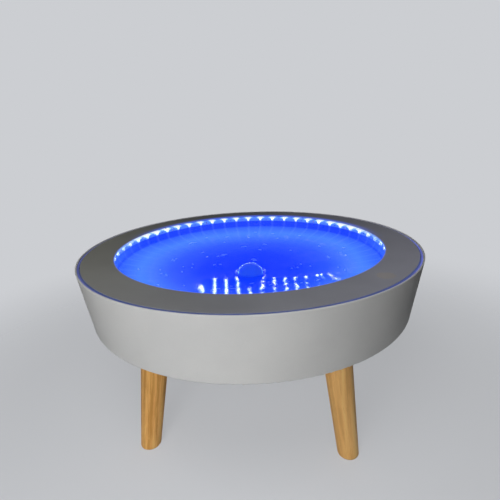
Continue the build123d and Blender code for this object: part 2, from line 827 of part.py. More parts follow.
# Light controller: case, circuit board, lid and screws
case_top_z = board_top_z + controller_height
case_floor_z = board_top_z + controller_wall
with BuildPart() as controller_case:
    with BuildSketch(Plane.XY.offset(board_top_z)):
        with Locations((0, -bay_radius)):
            RectangleRounded(controller_length, controller_width, controller_corner_radius)
    extrude(amount=controller_height)
    with BuildSketch(Plane.XY.offset(case_floor_z)):
        with Locations((0, -bay_radius)):
            Rectangle(controller_length - 2 * controller_wall, controller_width - 2 * controller_wall)
    extrude(amount=controller_height, mode=Mode.SUBTRACT)
    with BuildSketch(Plane.XY.offset(board_top_z)):
        with Locations((0, -bay_radius)):
            with GridLocations(lug_pitch, lug_pitch, 2, 1):
                Rectangle(controller_lug_length, controller_lug_length)
    extrude(amount=controller_lug_thickness)
    with BuildSketch(Plane.XY.offset(board_top_z)):
        with Locations((0, -bay_radius)):
            with GridLocations(lug_pitch, lug_pitch, 2, 1):
                Circle(flush_screw_shank_diameter / 2 + bore_clearance)
    extrude(amount=controller_lug_thickness, mode=Mode.SUBTRACT)
    with Locations((0, -bay_radius, board_top_z + controller_lug_thickness)):
        with GridLocations(lug_pitch, lug_pitch, 2, 1):
            add(screw_seat, mode=Mode.SUBTRACT)
save(controller_case, "controller_case")

circuit_z = case_floor_z + circuit_board_height
with BuildPart() as controller_board:
    with BuildSketch(Plane.XY.offset(circuit_z)):
        with Locations((0, -bay_radius)):
            Rectangle(
                controller_length - 2 * controller_wall - 2 * part_clearance,
                controller_width - 2 * controller_wall - 2 * part_clearance,
            )
    extrude(amount=circuit_board_thickness)
    with BuildSketch(Plane.XY.offset(case_floor_z)):
        with Locations((0, -bay_radius)):
            with GridLocations(controller_length / 2, controller_width / 2, 2, 2):
                Circle(circuit_board_height / 2)
    extrude(amount=circuit_board_height)
    with BuildSketch(Plane.XY.offset(circuit_z + circuit_board_thickness)):
        with Locations((0, -bay_radius)):
            Rectangle(driver_chip_length, driver_chip_width)
    extrude(amount=driver_chip_height)
    with BuildSketch(Plane.XY.offset(circuit_z + circuit_board_thickness)):
        with Locations((controller_length / 4, -bay_radius)):
            Circle(capacitor_diameter / 2)
        with Locations((-controller_length / 4, -bay_radius)):
            Rectangle(capacitor_diameter, terminal_block_length)
    extrude(amount=capacitor_height)
save(controller_board, "controller_board")

with BuildPart() as controller_lid:
    with BuildSketch(Plane.XY.offset(case_top_z)):
        with Locations((0, -bay_radius)):
            RectangleRounded(controller_length, controller_width, controller_corner_radius)
    extrude(amount=controller_lid_thickness)
    fillet(controller_lid.edges().group_by(Axis.Z)[-1], controller_lid_thickness / 3)
    with BuildSketch(Plane.XY.offset(case_top_z)):
        with Locations((0, -bay_radius)):
            Rectangle(
                controller_length - 2 * controller_wall - 2 * part_clearance,
                controller_width - 2 * controller_wall - 2 * part_clearance,
            )
    extrude(amount=-controller_lid_thickness)
save(controller_lid, "controller_lid")

controller_screw = flush_screw(board_thickness)
with BuildPart() as controller_screws:
    with Locations((0, -bay_radius, board_top_z + controller_lug_thickness)):
        with GridLocations(lug_pitch, lug_pitch, 2, 1):
            add(controller_screw)
save(controller_screws, "controller_screws")

# Grommet in the basin wall, behind the strip
with BuildPart() as strip_grommet:
    with BuildSketch(Plane.XZ.offset(basin_radius)):
        with Locations((0, lead_z)):
            Circle(grommet_radius)
            Circle(lead_radius + bore_clearance, mode=Mode.SUBTRACT)
    extrude(amount=2 * basin_wall)
save(strip_grommet, "strip_grommet")


# Leads: straight runs joined by arcs, each arc as large as its runs allow
def corner_radii(route: list) -> list:
    """Radius of the arc at each inner point of a route."""
    points = [Vector(*point) for point in route]
    radii = []
    for before, here, after in zip(points, points[1:], points[2:]):
        turn = radians((here - before).get_angle(after - here))
        radii.append(arc_share * min((here - before).length, (after - here).length) / tan(turn / 2))
    return radii


def lead(name: str, route: list) -> None:
    """Build one lead along its route and write it."""
    radii = corner_radii(route)
    with BuildPart() as piece:
        with BuildLine():
            path = FilletPolyline(*route, radius=radii)
        with BuildSketch(Plane(origin=path @ 0, z_dir=path % 0)):
            Circle(lead_radius)
        sweep()
    volume_share = piece.part.volume / (path.length * pi * lead_radius**2)
    print(name, "arc radii", [round(radius, 1) for radius in radii], "volume share", round(volume_share, 4))
    save(piece, name)


case_front_y = -bay_radius - controller_width / 2
case_left_x = -controller_length / 2
riser_y = -basin_radius - lead_gap
lead_floor_z = board_top_z + lead_height
tab_z = switch_top_z + tab_height / 2
tab_x = tab_pitch / 2 + tab_thickness / 2
lead(
    "strip_lead",
    [
        (0, case_front_y, lead_floor_z),
        (0, riser_y, lead_floor_z),
        (0, riser_y, lead_z),
        (0, -basin_radius, lead_z),
    ],
)
lead(
    "switch_lead",
    [
        (tab_x - switch_offset, -bay_radius, tab_z),
        (tab_x - switch_offset + lead_stub, -bay_radius, tab_z),
        (case_left_x - lead_stub, -bay_radius + lead_shift, lead_floor_z),
        (case_left_x, -bay_radius + lead_shift, lead_floor_z),
    ],
)
lead(
    "socket_lead",
    [
        (-switch_offset, -bay_radius - socket_row, socket_top_z),
        (-switch_offset, -bay_radius - socket_row, socket_top_z + lead_stub),
        (-switch_offset - tab_x - lead_stub, -bay_radius, tab_z),
        (-switch_offset - tab_x, -bay_radius, tab_z),
    ],
)

clip_front_y = case_front_y + clip_share * (riser_y - case_front_y) + clip_length / 2
with BuildPart() as lead_clip:
    with BuildSketch(Plane.XZ.offset(-clip_front_y)):
        with Locations((0, board_top_z)):
            Rectangle(
                2 * (lead_radius + clip_margin),
                lead_height + lead_radius + clip_margin,
                align=(Align.CENTER, Align.MIN),
            )
        with Locations((0, lead_floor_z)):
            Circle(lead_radius + bore_clearance, mode=Mode.SUBTRACT)
    extrude(amount=clip_length)
save(lead_clip, "lead_clip")
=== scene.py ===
"""Looks of the light-up LED table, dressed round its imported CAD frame.

Metres, +Z up, in the frame of the CAD part: the origin is on the floor under the middle of the drum and
-Y is the front. Every CAD node stays where it is and gets a procedural finish. Water drops and the
strip's copper pads are added here.
"""

import logging
import math
import random
from dataclasses import dataclass, field
from enum import Enum
from functools import cached_property
from typing import Any, NamedTuple

import bmesh
import bpy
from mathutils import Matrix, Vector
from mathutils.bvhtree import BVHTree


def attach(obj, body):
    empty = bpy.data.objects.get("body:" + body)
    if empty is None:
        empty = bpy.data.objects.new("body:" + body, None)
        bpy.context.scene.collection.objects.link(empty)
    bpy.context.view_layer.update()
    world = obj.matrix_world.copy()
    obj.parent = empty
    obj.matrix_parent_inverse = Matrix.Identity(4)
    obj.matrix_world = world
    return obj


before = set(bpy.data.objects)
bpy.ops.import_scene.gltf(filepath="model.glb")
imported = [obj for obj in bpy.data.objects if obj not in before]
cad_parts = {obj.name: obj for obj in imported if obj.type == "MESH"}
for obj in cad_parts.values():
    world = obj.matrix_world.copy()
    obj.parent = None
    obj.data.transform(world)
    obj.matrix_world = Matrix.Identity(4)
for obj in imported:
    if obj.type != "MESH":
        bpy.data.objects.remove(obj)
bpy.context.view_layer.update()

log = logging.getLogger("light_up_table")

Rgb = tuple[float, float, float]
Place = tuple[float, float, float]
Span = tuple[float, float]
MM = 0.001
BLACK: Rgb = (0.0, 0.0, 0.0)
WHITE: Rgb = (1.0, 1.0, 1.0)


class Lay(Enum):
    """Direction of the fine lines that a tool leaves on metal."""

    TURNED = "round the part, one above the other"
    CAST = "none, only a fine grain"


class Side(Enum):
    """The four legs, by the angle of their place from +X in degrees."""

    FRONT_LEFT = -135
    FRONT_RIGHT = -45
    REAR_RIGHT = 45
    REAR_LEFT = 135

    @property
    def node(self) -> str:
        """Name of the leg's CAD node."""
        return f"leg_{self.name.lower()}"


class Wave(NamedTuple):
    """One soft wave of the basin's floor: its way in degrees, its length, its height in mm and its phase."""

    way: float
    length: float
    tall: float
    phase: float


def linear(*display: float) -> Rgb:
    """Linear colour of a display colour, whose red, green and blue go from 0 to 255."""
    shares = [level / 255 for level in display]
    return tuple(share / 12.92 if share <= 0.04045 else ((share + 0.055) / 1.055) ** 2.4 for share in shares)


def opaque(colour: Rgb) -> tuple[float, float, float, float]:
    """The colour with a full fourth channel, as colour sockets want it."""
    return (*colour, 1.0)


def scaled(colour: Rgb, share: float) -> Rgb:
    """The colour with all its levels lowered to a share."""
    return tuple(share * level for level in colour)


def by_name(sockets: bpy.types.bpy_prop_collection) -> dict[str, bpy.types.NodeSocket]:
    """Sockets by their names in small letters, with underscores for spaces."""
    return {socket.name.lower().replace(" ", "_"): socket for socket in sockets}


def tree_of(owner: bpy.types.Material | bpy.types.World) -> bpy.types.NodeTree:
    """Node tree of a material or a world."""
    owner.use_nodes = True
    return owner.node_tree


class Value:
    """What a node gives. Plain arithmetic on it makes Math nodes."""

    def __init__(self, sheet: "Sheet", socket: bpy.types.NodeSocket) -> None:
        """Keeps the output socket and the sheet that its node is on."""
        self.sheet, self.socket = sheet, socket

    def __add__(self, other: Any) -> "Value":
        """The sum of both."""
        return self.sheet.math("ADD", self, other)

    def __sub__(self, other: Any) -> "Value":
        """This value less the other."""
        return self.sheet.math("SUBTRACT", self, other)

    def __rsub__(self, other: float) -> "Value":
        """A number less this value."""
        return self.sheet.math("SUBTRACT", other, self)

    def __mul__(self, other: Any) -> "Value":
        """The product of both."""
        return self.sheet.math("MULTIPLY", self, other)

    def __truediv__(self, other: Any) -> "Value":
        """This value over the other."""
        return self.sheet.math("DIVIDE", self, other)

    def __abs__(self) -> "Value":
        """This value without its sign."""
        return self.sheet.math("ABSOLUTE", self)


class Sheet:
    """Adds and joins the nodes of one shader tree, which look at one point unless another is given."""

    point: Value

    def __init__(self, tree: bpy.types.NodeTree) -> None:
        """Empties the tree and keeps it."""
        tree.nodes.clear()
        self.tree = tree

    def feed(self, socket: bpy.types.NodeSocket, value: Any) -> None:
        """Joins an input socket to a value, or sets it to a number or tuple."""
        if isinstance(value, Value):
            self.tree.links.new(value.socket, socket)
        else:
            socket.default_value = value

    def node(self, kind: str, inputs: dict[Any, Any] | None = None, **settings: Any) -> bpy.types.Node:
        """Adds one node.

        Args:
            kind: Blender's name of the node type, without ShaderNode.
            inputs: Values by input name or number.
            **settings: Properties of the node.

        Returns:
            The node.
        """
        made = self.tree.nodes.new(f"ShaderNode{kind}")
        for name, value in settings.items():
            setattr(made, name, value)
        for name, value in (inputs or {}).items():
            self.feed(made.inputs[name], value)
        return made

    def take(self, kind: str, inputs: dict[Any, Any] | None = None, out: Any = 0, **settings: Any) -> Value:
        """Adds one node and gives its output of a name or number."""
        return Value(self, self.node(kind, inputs, **settings).outputs[out])

    def outputs(self, made: bpy.types.Node) -> dict[str, Value]:
        """All that a node gives, by the outputs' names in small letters."""
        return {name: Value(self, socket) for name, socket in by_name(made.outputs).items()}

    def effect(self, group: bpy.types.NodeTree, **values: Any) -> dict[str, Value]:
        """Places a shared effect.

        Args:
            group: The effect's node group.
            **values: Its inputs by their names in small letters. The vector is the sheet's point by default.

        Returns:
            Its outputs by their names in small letters.
        """
        made = self.node("Group", node_tree=group)
        inputs = by_name(made.inputs)
        for name, value in {"vector": self.point, **values}.items():
            self.feed(inputs[name], value)
        return self.outputs(made)

    def math(self, operation: str, *values: Any, clamp: bool = False) -> Value:
        """Result of one Math node on up to three values."""
        return self.take("Math", dict(enumerate(values)), operation=operation, use_clamp=clamp)

    def vector(self, operation: str, *values: Any) -> Value:
        """Result of one Vector Math node."""
        out = "Value" if operation in ("DOT_PRODUCT", "LENGTH", "DISTANCE") else "Vector"
        return self.take("VectorMath", dict(enumerate(values)), out, operation=operation)

    def most(self, first: Value, *others: Any) -> Value:
        """The greatest of some values."""
        for other in others:
            first = self.math("MAXIMUM", first, other)
        return first

    def ramp(self, value: Any, low: float, high: float, start: float = 0.0, end: float = 1.0) -> Value:
        """Smooth step of a value, which is start up to low and end from high on."""
        inputs = {"Value": value, "From Min": low, "From Max": high, "To Min": start, "To Max": end}
        return self.take("MapRange", inputs, "Result", interpolation_type="SMOOTHSTEP")

    def fall(self, value: Any, low: float, high: float) -> Value:
        """Smooth step from 1 at low down to 0 at high."""
        return self.ramp(value, low, high, 1.0, 0.0)

    def blend(self, share: Any, first: Any, second: Any) -> Value:
        """Blend of two colours, by the share of the second."""
        first, second = (opaque(one) if isinstance(one, tuple) else one for one in (first, second))
        return self.take("Mix", {0: share, 6: first, 7: second}, 2, data_type="RGBA")

    def bands(self, value: Any, stops: list[tuple[float, Rgb]]) -> Value:
        """Colour that changes along a value.

        Args:
            value: Value to map.
            stops: Places on it in rising order, each with its colour.

        Returns:
            The colour.
        """
        made = self.node("ValToRGB", {"Fac": value})
        points = made.color_ramp.elements
        while len(points) < len(stops):
            points.new(0.5)
        for point, (place, colour) in zip(points, stops):
            point.position, point.color = place, opaque(colour)
        return Value(self, made.outputs["Color"])

    def noise(
        self, scale: Any, detail: float = 3.0, rough: float = 0.5, warp: float = 0.0, at: Value | None = None
    ) -> Value:
        """Noise at the point or at another vector, with finer layers by its detail and roughness."""
        sizes = {"Scale": scale, "Detail": detail, "Roughness": rough, "Distortion": warp}
        return self.take("TexNoise", {"Vector": at or self.point, **sizes}, "Fac")

    def stretch(self, scale: Place, at: Value | None = None) -> Value:
        """The point, scaled along each axis."""
        return self.vector("MULTIPLY", at or self.point, scale)

    def turned(self, angles: Any, invert: bool = False) -> Value:
        """The point, turned by Euler angles or back by them."""
        inputs = {"Vector": self.point, "Rotation": angles}
        return self.take("VectorRotate", inputs, rotation_type="EULER_XYZ", invert=invert)

    def parts(self, at: Value | None = None) -> list[Value]:
        """X, Y and Z of the point, or of another vector."""
        return list(self.outputs(self.node("SeparateXYZ", {0: at or self.point})).values())

    @cached_property
    def radius(self) -> Value:
        """Distance of the point from the table's axis."""
        return self.vector("LENGTH", self.stretch((1.0, 1.0, 0.0)))

    @cached_property
    def normal(self) -> Value:
        """Direction that the surface faces."""
        return self.take("NewGeometry", out="Normal")


class EffectSheet(Sheet):
    """A shared effect in the making: a node group that looks at a point."""

    def __init__(self, name: str, **inputs: float) -> None:
        """Starts the group.

        Args:
            name: Name of the group.
            **inputs: Default of each input, by its name in small letters.
        """
        tree = bpy.data.node_groups.new(name, "ShaderNodeTree")
        tree.interface.new_socket("Vector", in_out="INPUT", socket_type="NodeSocketVector")
        for small, default in inputs.items():
            title = small.replace("_", " ").title()
            socket = tree.interface.new_socket(title, in_out="INPUT", socket_type="NodeSocketFloat")
            socket.default_value = default
        super().__init__(tree)
        self.given = self.outputs(tree.nodes.new("NodeGroupInput"))
        self.point = self.given["vector"]

    def give(self, **values: Value) -> bpy.types.NodeTree:
        """Ends the group.

        Args:
            **values: What it gives, by name.

        Returns:
            The group.
        """
        for name in values:
            self.tree.interface.new_socket(name.title(), in_out="OUTPUT", socket_type="NodeSocketFloat")
        ends = by_name(self.tree.nodes.new("NodeGroupOutput").inputs)
        for name, value in values.items():
            self.feed(ends[name], value)
        return self.tree


class Effects:
    """The shader effects that several finishes share, each a node group built once, at its first use."""

    @cached_property
    def grain(self) -> bpy.types.NodeTree:
        """Fine moulded or sprayed grain over slow changes of tone."""
        sheet = EffectSheet("moulded_grain", fine=900.0, broad=14.0)
        fine = sheet.noise(sheet.given["fine"], detail=2.0, rough=0.6)
        broad = sheet.noise(sheet.given["broad"], detail=4.0, rough=0.55)
        return sheet.give(tone=sheet.ramp(fine * 0.3 + broad * 0.7, 0.32, 0.68), height=fine)

    @cached_property
    def scuffs(self) -> bpy.types.NodeTree:
        """Short hair scratches, which run three ways, and rubbed spots, in scattered places."""
        sheet = EffectSheet("scuffs", scale=30.0, amount=0.3)
        scale, amount = sheet.given["scale"], sheet.given["amount"]
        lines = []
        for turn in (0.5, 1.9, 2.7):
            drawn_out = sheet.stretch((1.0, 24.0, 5.0), sheet.turned((turn, 0.6 * turn, 1.7 * turn)))
            thin = sheet.noise(scale, detail=1.0, at=drawn_out)
            lines.append(sheet.fall(abs(thin - 0.5), 0.0, 0.006))
        limit = 0.75 - amount * 0.35
        there = sheet.math("MULTIPLY", sheet.noise(scale * 0.6, detail=2.0) - limit, 12.0, clamp=True)
        return sheet.give(scratch=sheet.most(*lines) * there, rub=there)

    @cached_property
    def dust(self) -> bpy.types.NodeTree:
        """Thin dust on what faces up, in patches."""
        sheet = EffectSheet("dust", amount=0.2)
        facing_up = sheet.ramp(sheet.parts(sheet.normal)[2], 0.35, 0.95)
        patches = sheet.ramp(sheet.noise(55.0, detail=5.0, rough=0.65), 0.42, 0.7)
        return sheet.give(mask=facing_up * patches * sheet.given["amount"])

    @cached_property
    def wear(self) -> bpy.types.NodeTree:
        """Rubbed edges: where the surface turns within a small radius."""
        sheet = EffectSheet("edge_wear", radius=1 * MM, amount=0.5)
        rounded = sheet.take("Bevel", {"Radius": sheet.given["radius"]}, samples=4)
        turned = sheet.ramp(1.0 - sheet.vector("DOT_PRODUCT", rounded, sheet.normal), 0.01, 0.12)
        broken = sheet.ramp(sheet.noise(140.0, detail=4.0, rough=0.6), 0.35, 0.7)
        return sheet.give(mask=turned * broken * sheet.given["amount"])

    @cached_property
    def tool_lines(self) -> bpy.types.NodeTree:
        """Fine lines of a lathe, which follow each other as the value across grows."""
        sheet = EffectSheet("tool_lines", across=0.0, pitch=0.4 * MM)
        step = sheet.given["across"] / sheet.given["pitch"]
        place = sheet.take("CombineXYZ", {0: step, 1: sheet.noise(30.0, detail=1.0)})
        lines = sheet.noise(1.0, detail=4.0, rough=0.7, at=place)
        return sheet.give(tone=sheet.ramp(lines, 0.3, 0.7), height=lines)

    @cached_property
    def wood(self) -> bpy.types.NodeTree:
        """Wood cut along its length, which is Z: long growth streaks, flecks and short pores."""
        sheet = EffectSheet("wood_figure", streaks=90.0, seed=0.0)

        def figure(at: Value, flatten: float, scale: Any, detail: float = 2.0, rough: float = 0.5) -> Value:
            """Noise that is drawn out along the wood."""
            return sheet.noise(scale, detail, rough, at=sheet.stretch((1.0, 1.0, flatten), at))

        place = sheet.vector("ADD", sheet.point, sheet.given["seed"])
        swayed = sheet.vector("ADD", place, figure(place, 0.35, 16.0) * 0.009)
        rings = figure(swayed, 0.03, sheet.given["streaks"], 5.0, 0.65)
        broad = figure(swayed, 0.05, 42.0)
        tone = sheet.ramp(rings * 0.7 + broad * 0.3, 0.3, 0.7)
        pores = sheet.ramp(figure(place, 0.07, 900.0, rough=0.7), 0.56, 0.72)
        fleck = sheet.ramp(figure(place, 0.3, 330.0), 0.58, 0.74)
        return sheet.give(tone=tone, pores=pores, fleck=fleck, height=rings * 0.3 - pores)

    @cached_property
    def lamp_glow(self) -> bpy.types.NodeTree:
        """Light of the lamps on the wall behind them: wide above each lamp and drawn to a point below it.

        Core is the burnt-out white middle, Halo what surrounds it, Band the light between the lamps, Hot the
        lamp itself, and Arc and Under tell how far a point lies beside its nearest lamp and below it.
        """
        names = ("first_angle", "step_angle", "lamps", "radius", "height", "grow")
        sheet = EffectSheet("lamp_glow", **dict.fromkeys(names, 1.0))
        given, fall = sheet.given, sheet.fall
        x, y, z = sheet.parts()
        turns = (sheet.math("ARCTAN2", y, x) - given["first_angle"]) / math.tau
        place = sheet.math("FRACT", turns) * math.tau / given["step_angle"]
        arc = (sheet.math("FRACT", place) - 0.5) * given["step_angle"] * given["radius"]
        under = given["height"] - z
        uneven = sheet.ramp(sheet.noise(210.0), 0.3, 0.7, 0.8, 1.15)
        half_width = sheet.ramp(under, -8 * MM, 1.5 * MM, 9.4 * MM, 1.6 * MM) * uneven
        half_width = half_width * sheet.ramp(under, -14 * MM, -7 * MM, 0.6, 1.0) * given["grow"]
        beside = abs(arc) / half_width
        masks = {
            "core": fall(beside, 0.65, 1.1) * fall(under, -2 * MM, 3 * MM),
            "halo": fall(beside, 0.9, 1.9) * fall(under, -2 * MM, 7 * MM),
            "band": fall(under, -11 * MM, 5 * MM),
            "hot": fall(abs(arc), 1 * MM, 8 * MM) * fall(abs(under), 2 * MM, 10 * MM),
        }
        on_strip = sheet.math("LESS_THAN", place, given["lamps"])
        return sheet.give(**{name: mask * on_strip for name, mask in masks.items()}, arc=arc, under=under)

    @cached_property
    def waves(self) -> bpy.types.NodeTree:
        """Soft waves of the basin's thin sheet, which rises a little at the front, in millimetres."""
        flatten, flatten_growth, rise, rise_loss = 600.0, 3000.0, 19.0, 68.0
        waves = (
            Wave(102, 36 * MM, 0.05, 0.7),
            Wave(60, 76 * MM, 0.16, 4.3),
            Wave(7, 100 * MM, 0.12, 3.45),
            Wave(40, 20 * MM, 0.027, 5.0),
        )
        sheet = EffectSheet("soft_waves")
        x, y, _ = sheet.parts()
        here = sheet.fall(abs(x - 34 * MM), 104 * MM, 158 * MM)
        front = here * sheet.fall(y, -50 * MM, 30 * MM)
        across = x * x * ((y + 70 * MM) * flatten_growth + flatten)
        forward = sheet.most(y * -1.0, 0.0)
        height = forward * (rise - forward * rise_loss) * here - across * front
        calm = sheet.ramp(x, -20 * MM, 30 * MM, 0.18, 1.2)
        for wave in waves:
            way = math.radians(wave.way)
            along = (math.cos(way) * math.tau / wave.length, math.sin(way) * math.tau / wave.length, 0.0)
            swing = sheet.vector("DOT_PRODUCT", sheet.point, along) + wave.phase
            height = height + sheet.math("SINE", swing) * wave.tall * calm
        return sheet.give(height=height)


class MaterialSheet(Sheet):
    """A material in the making: its nodes, its Principled shader and the point on the surface."""

    def __init__(self, name: str, effects: Effects) -> None:
        """Starts the material.

        Args:
            name: Name of the material.
            effects: The shared effect groups.
        """
        self.material = bpy.data.materials.new(name)
        super().__init__(tree_of(self.material))
        self.effects = effects
        self.shader = self.node("BsdfPrincipled")
        self.surface = Value(self, self.shader.outputs[0])
        self.end = self.node("OutputMaterial")
        self.show(self.surface)
        self.point = self.take("TexCoord", out="Object")

    def show(self, surface: Value) -> None:
        """Leads a shader to the material's output."""
        self.feed(self.end.inputs["Surface"], surface)

    def set(self, **values: Any) -> None:
        """Sets or joins inputs of the Principled shader, by their names in small letters."""
        inputs = by_name(self.shader.inputs)
        for name, value in values.items():
            self.feed(inputs[name], value)

    def glow(self, colour: Value, own: float, strength: Any) -> None:
        """Lets the surface shine in a colour, and keeps a share of it as the surface's own colour."""
        self.set(base_color=self.blend(1.0 - own, colour, BLACK), emission_color=colour)
        self.set(emission_strength=strength)

    def bump(self, height: Value, depth: float, strength: float = 1.0) -> None:
        """Raises the surface by a height map, whose height of 1 stands for a depth in metres."""
        self.set(normal=self.take("Bump", {"Strength": strength, "Distance": depth, "Height": height}))


@dataclass(frozen=True)
class Finish:
    """What a surface looks like. Each kind of finish paints the material in its own way."""

    name: str

    def make(self, effects: Effects) -> bpy.types.Material:
        """Builds the material.

        Args:
            effects: The shared effect groups.

        Returns:
            The material.
        """
        sheet = MaterialSheet(self.name, effects)
        self.paint(sheet)
        return sheet.material

    def paint(self, sheet: MaterialSheet) -> None:
        """Sets the shader of the material in the making."""
        raise NotImplementedError


@dataclass(frozen=True)
class Moulded(Finish):
    """Moulded or sprayed finish: plastic, rubber, paint."""

    colour: Rgb
    shade: Rgb
    roughness: float = 0.45
    fine: float = 900.0
    broad: float = 14.0
    depth: float = 0.04 * MM
    scuffing: float = 0.3
    scuff_scale: float = 30.0
    dusting: float = 0.15
    dust_colour: Rgb = linear(176, 174, 170)
    edge_radius: float = 0.0
    edge_colour: Rgb = (0.8, 0.8, 0.8)
    specular: float = 0.5

    def paint(self, sheet: MaterialSheet) -> None:
        """Grain with scratches, rubbed spots and dust, and worn edges where it has an edge radius.

        Args:
            sheet: The material in the making.
        """
        effects = sheet.effects
        grain = sheet.effect(effects.grain, fine=self.fine, broad=self.broad)
        scuffs = sheet.effect(effects.scuffs, scale=self.scuff_scale, amount=self.scuffing)
        dust = sheet.effect(effects.dust, amount=self.dusting)["mask"]
        colour = sheet.blend(grain["tone"], self.shade, self.colour)
        if self.edge_radius:
            wear = sheet.effect(effects.wear, radius=self.edge_radius, amount=0.6)["mask"]
            colour = sheet.blend(wear, colour, self.edge_colour)
        scratched = tuple(0.5 * level + 0.35 for level in self.colour)
        colour = sheet.blend(scuffs["scratch"] * 0.35, colour, scratched)
        colour = sheet.blend(dust, colour, self.dust_colour)
        rough = sheet.ramp(grain["tone"], 0.0, 1.0, self.roughness - 0.05, self.roughness + 0.06)
        rough = sheet.math("ADD", rough + scuffs["rub"] * 0.08, dust * 0.4, clamp=True)
        sheet.set(base_color=colour, roughness=rough, specular_ior_level=self.specular)
        sheet.bump(grain["height"] - scuffs["scratch"] * 0.6, self.depth)


@dataclass(frozen=True)
class Metal(Finish):
    """Bare or plated metal with tool lines."""

    colour: Rgb
    shade: Rgb
    roughness: float = 0.3
    lay: Lay = Lay.CAST
    pitch: float = 0.3 * MM
    depth: float = 0.01 * MM
    scuffing: float = 0.5

    def paint(self, sheet: MaterialSheet) -> None:
        """Grain with scratches and rubbed spots, and the lines of the lathe where it was turned.

        Args:
            sheet: The material in the making.
        """
        grain = sheet.effect(sheet.effects.grain, fine=1500.0, broad=40.0)
        scuffs = sheet.effect(sheet.effects.scuffs, scale=70.0, amount=self.scuffing)
        tone, height = grain["tone"], grain["height"]
        if self.lay is Lay.TURNED:
            lines = sheet.effect(sheet.effects.tool_lines, across=sheet.parts()[2], pitch=self.pitch)
            tone, height = tone * 0.4 + lines["tone"] * 0.6, lines["height"]
        rough = sheet.ramp(tone, 0.0, 1.0, self.roughness + 0.08, self.roughness - 0.04)
        colour = sheet.blend(tone, self.shade, self.colour)
        sheet.set(base_color=colour, roughness=rough + scuffs["rub"] * 0.1, metallic=1.0)
        sheet.bump(height - scuffs["scratch"] * 0.7, self.depth)


@dataclass(frozen=True)
class Wood(Finish):
    """Oiled wood whose grain runs along an axis that leans out at an angle."""

    angle: float = 0.0
    splay: float = 0.0
    seed: float = 0.0
    streaks: float = 190.0
    light: Rgb = linear(255, 208, 126)
    mid: Rgb = linear(246, 186, 104)
    dark: Rgb = linear(214, 150, 72)
    pale_tone_and_painted_light: Rgb = linear(255, 208, 140)
    pale: float = 0.0
    roughness: float = 0.42

    def paint(self, sheet: MaterialSheet) -> None:
        """Streaks, flecks and pores along the leaning axis, and rubbed edges.

        Args:
            sheet: The material in the making.
        """
        upright = Matrix.Rotation(self.angle, 3, "Z") @ Matrix.Rotation(-self.splay, 3, "Y")
        along = sheet.turned(upright.to_euler("XYZ"), invert=True)
        figure = sheet.effect(sheet.effects.wood, vector=along, streaks=self.streaks, seed=self.seed)
        colour = sheet.bands(figure["tone"], [(0.12, self.dark), (0.5, self.mid), (0.88, self.light)])
        colour = sheet.blend(figure["fleck"] * 0.28, colour, self.light)
        colour = sheet.blend(figure["pores"] * 0.6, colour, self.dark)
        wear = sheet.effect(sheet.effects.wear, radius=1.2 * MM, amount=0.35)["mask"]
        colour = sheet.blend(wear, colour, self.light)
        # Blend towards a paler colour: on the front right leg this is mostly painted light that makes the
        # leg brighter; on the others, tone that differs from leg to leg.
        colour = sheet.blend(self.pale, colour, self.pale_tone_and_painted_light)
        rough = sheet.ramp(figure["tone"], 0.0, 1.0, self.roughness + 0.1, self.roughness - 0.03)
        sheet.set(base_color=colour, roughness=rough + figure["pores"] * 0.15, specular_ior_level=0.42)
        sheet.bump(figure["height"], 0.12 * MM)


@dataclass(frozen=True)
class Ply(Finish):
    """Birch plywood: pale face grain and darker layers at the edge."""

    name: str = "plywood_birch"
    face: Rgb = linear(206, 176, 130)
    streak: Rgb = linear(182, 148, 101)
    layer: Rgb = linear(140, 102, 62)
    layer_height: float = 1.4 * MM

    def paint(self, sheet: MaterialSheet) -> None:
        """Wood that lies on its side, with every other layer darker where the surface stands upright.

        Args:
            sheet: The material in the making.
        """
        lying = sheet.turned((0.0, math.pi / 2, 0.0))
        figure = sheet.effect(sheet.effects.wood, vector=lying, streaks=45.0, seed=4.0)
        row = sheet.math("FRACT", sheet.parts()[2] / (2 * self.layer_height))
        upright = sheet.fall(abs(sheet.parts(sheet.normal)[2]), 0.3, 0.7)
        colour = sheet.blend(figure["tone"], self.streak, self.face)
        colour = sheet.blend(sheet.math("GREATER_THAN", row, 0.5) * upright, colour, self.layer)
        sheet.set(base_color=colour, roughness=sheet.ramp(figure["tone"], 0.0, 1.0, 0.7, 0.58))
        sheet.bump(figure["height"], 0.1 * MM)


@dataclass(frozen=True)
class Lamps:
    """Where the lamps sit round the basin wall, as the CAD strip carries them."""

    count: int = 48
    middle_angle: float = math.radians(99.8)
    pitch: float = 100 / 3 * MM
    radius: float = 264.4 * MM
    height: float = 331.1 * MM
    lens_radius: float = 1.9 * MM

    @property
    def step_angle(self) -> float:
        """Angle from one lamp to the next."""
        return self.pitch / self.radius

    @property
    def first_angle(self) -> float:
        """Angle of the strip's first end."""
        return self.middle_angle - self.count * self.step_angle / 2

    def values(self) -> dict[str, float]:
        """What the lamp glow effect needs to know of the lamps."""
        angles = {"first_angle": self.first_angle, "step_angle": self.step_angle}
        return {**angles, "lamps": float(self.count), "radius": self.radius, "height": self.height}


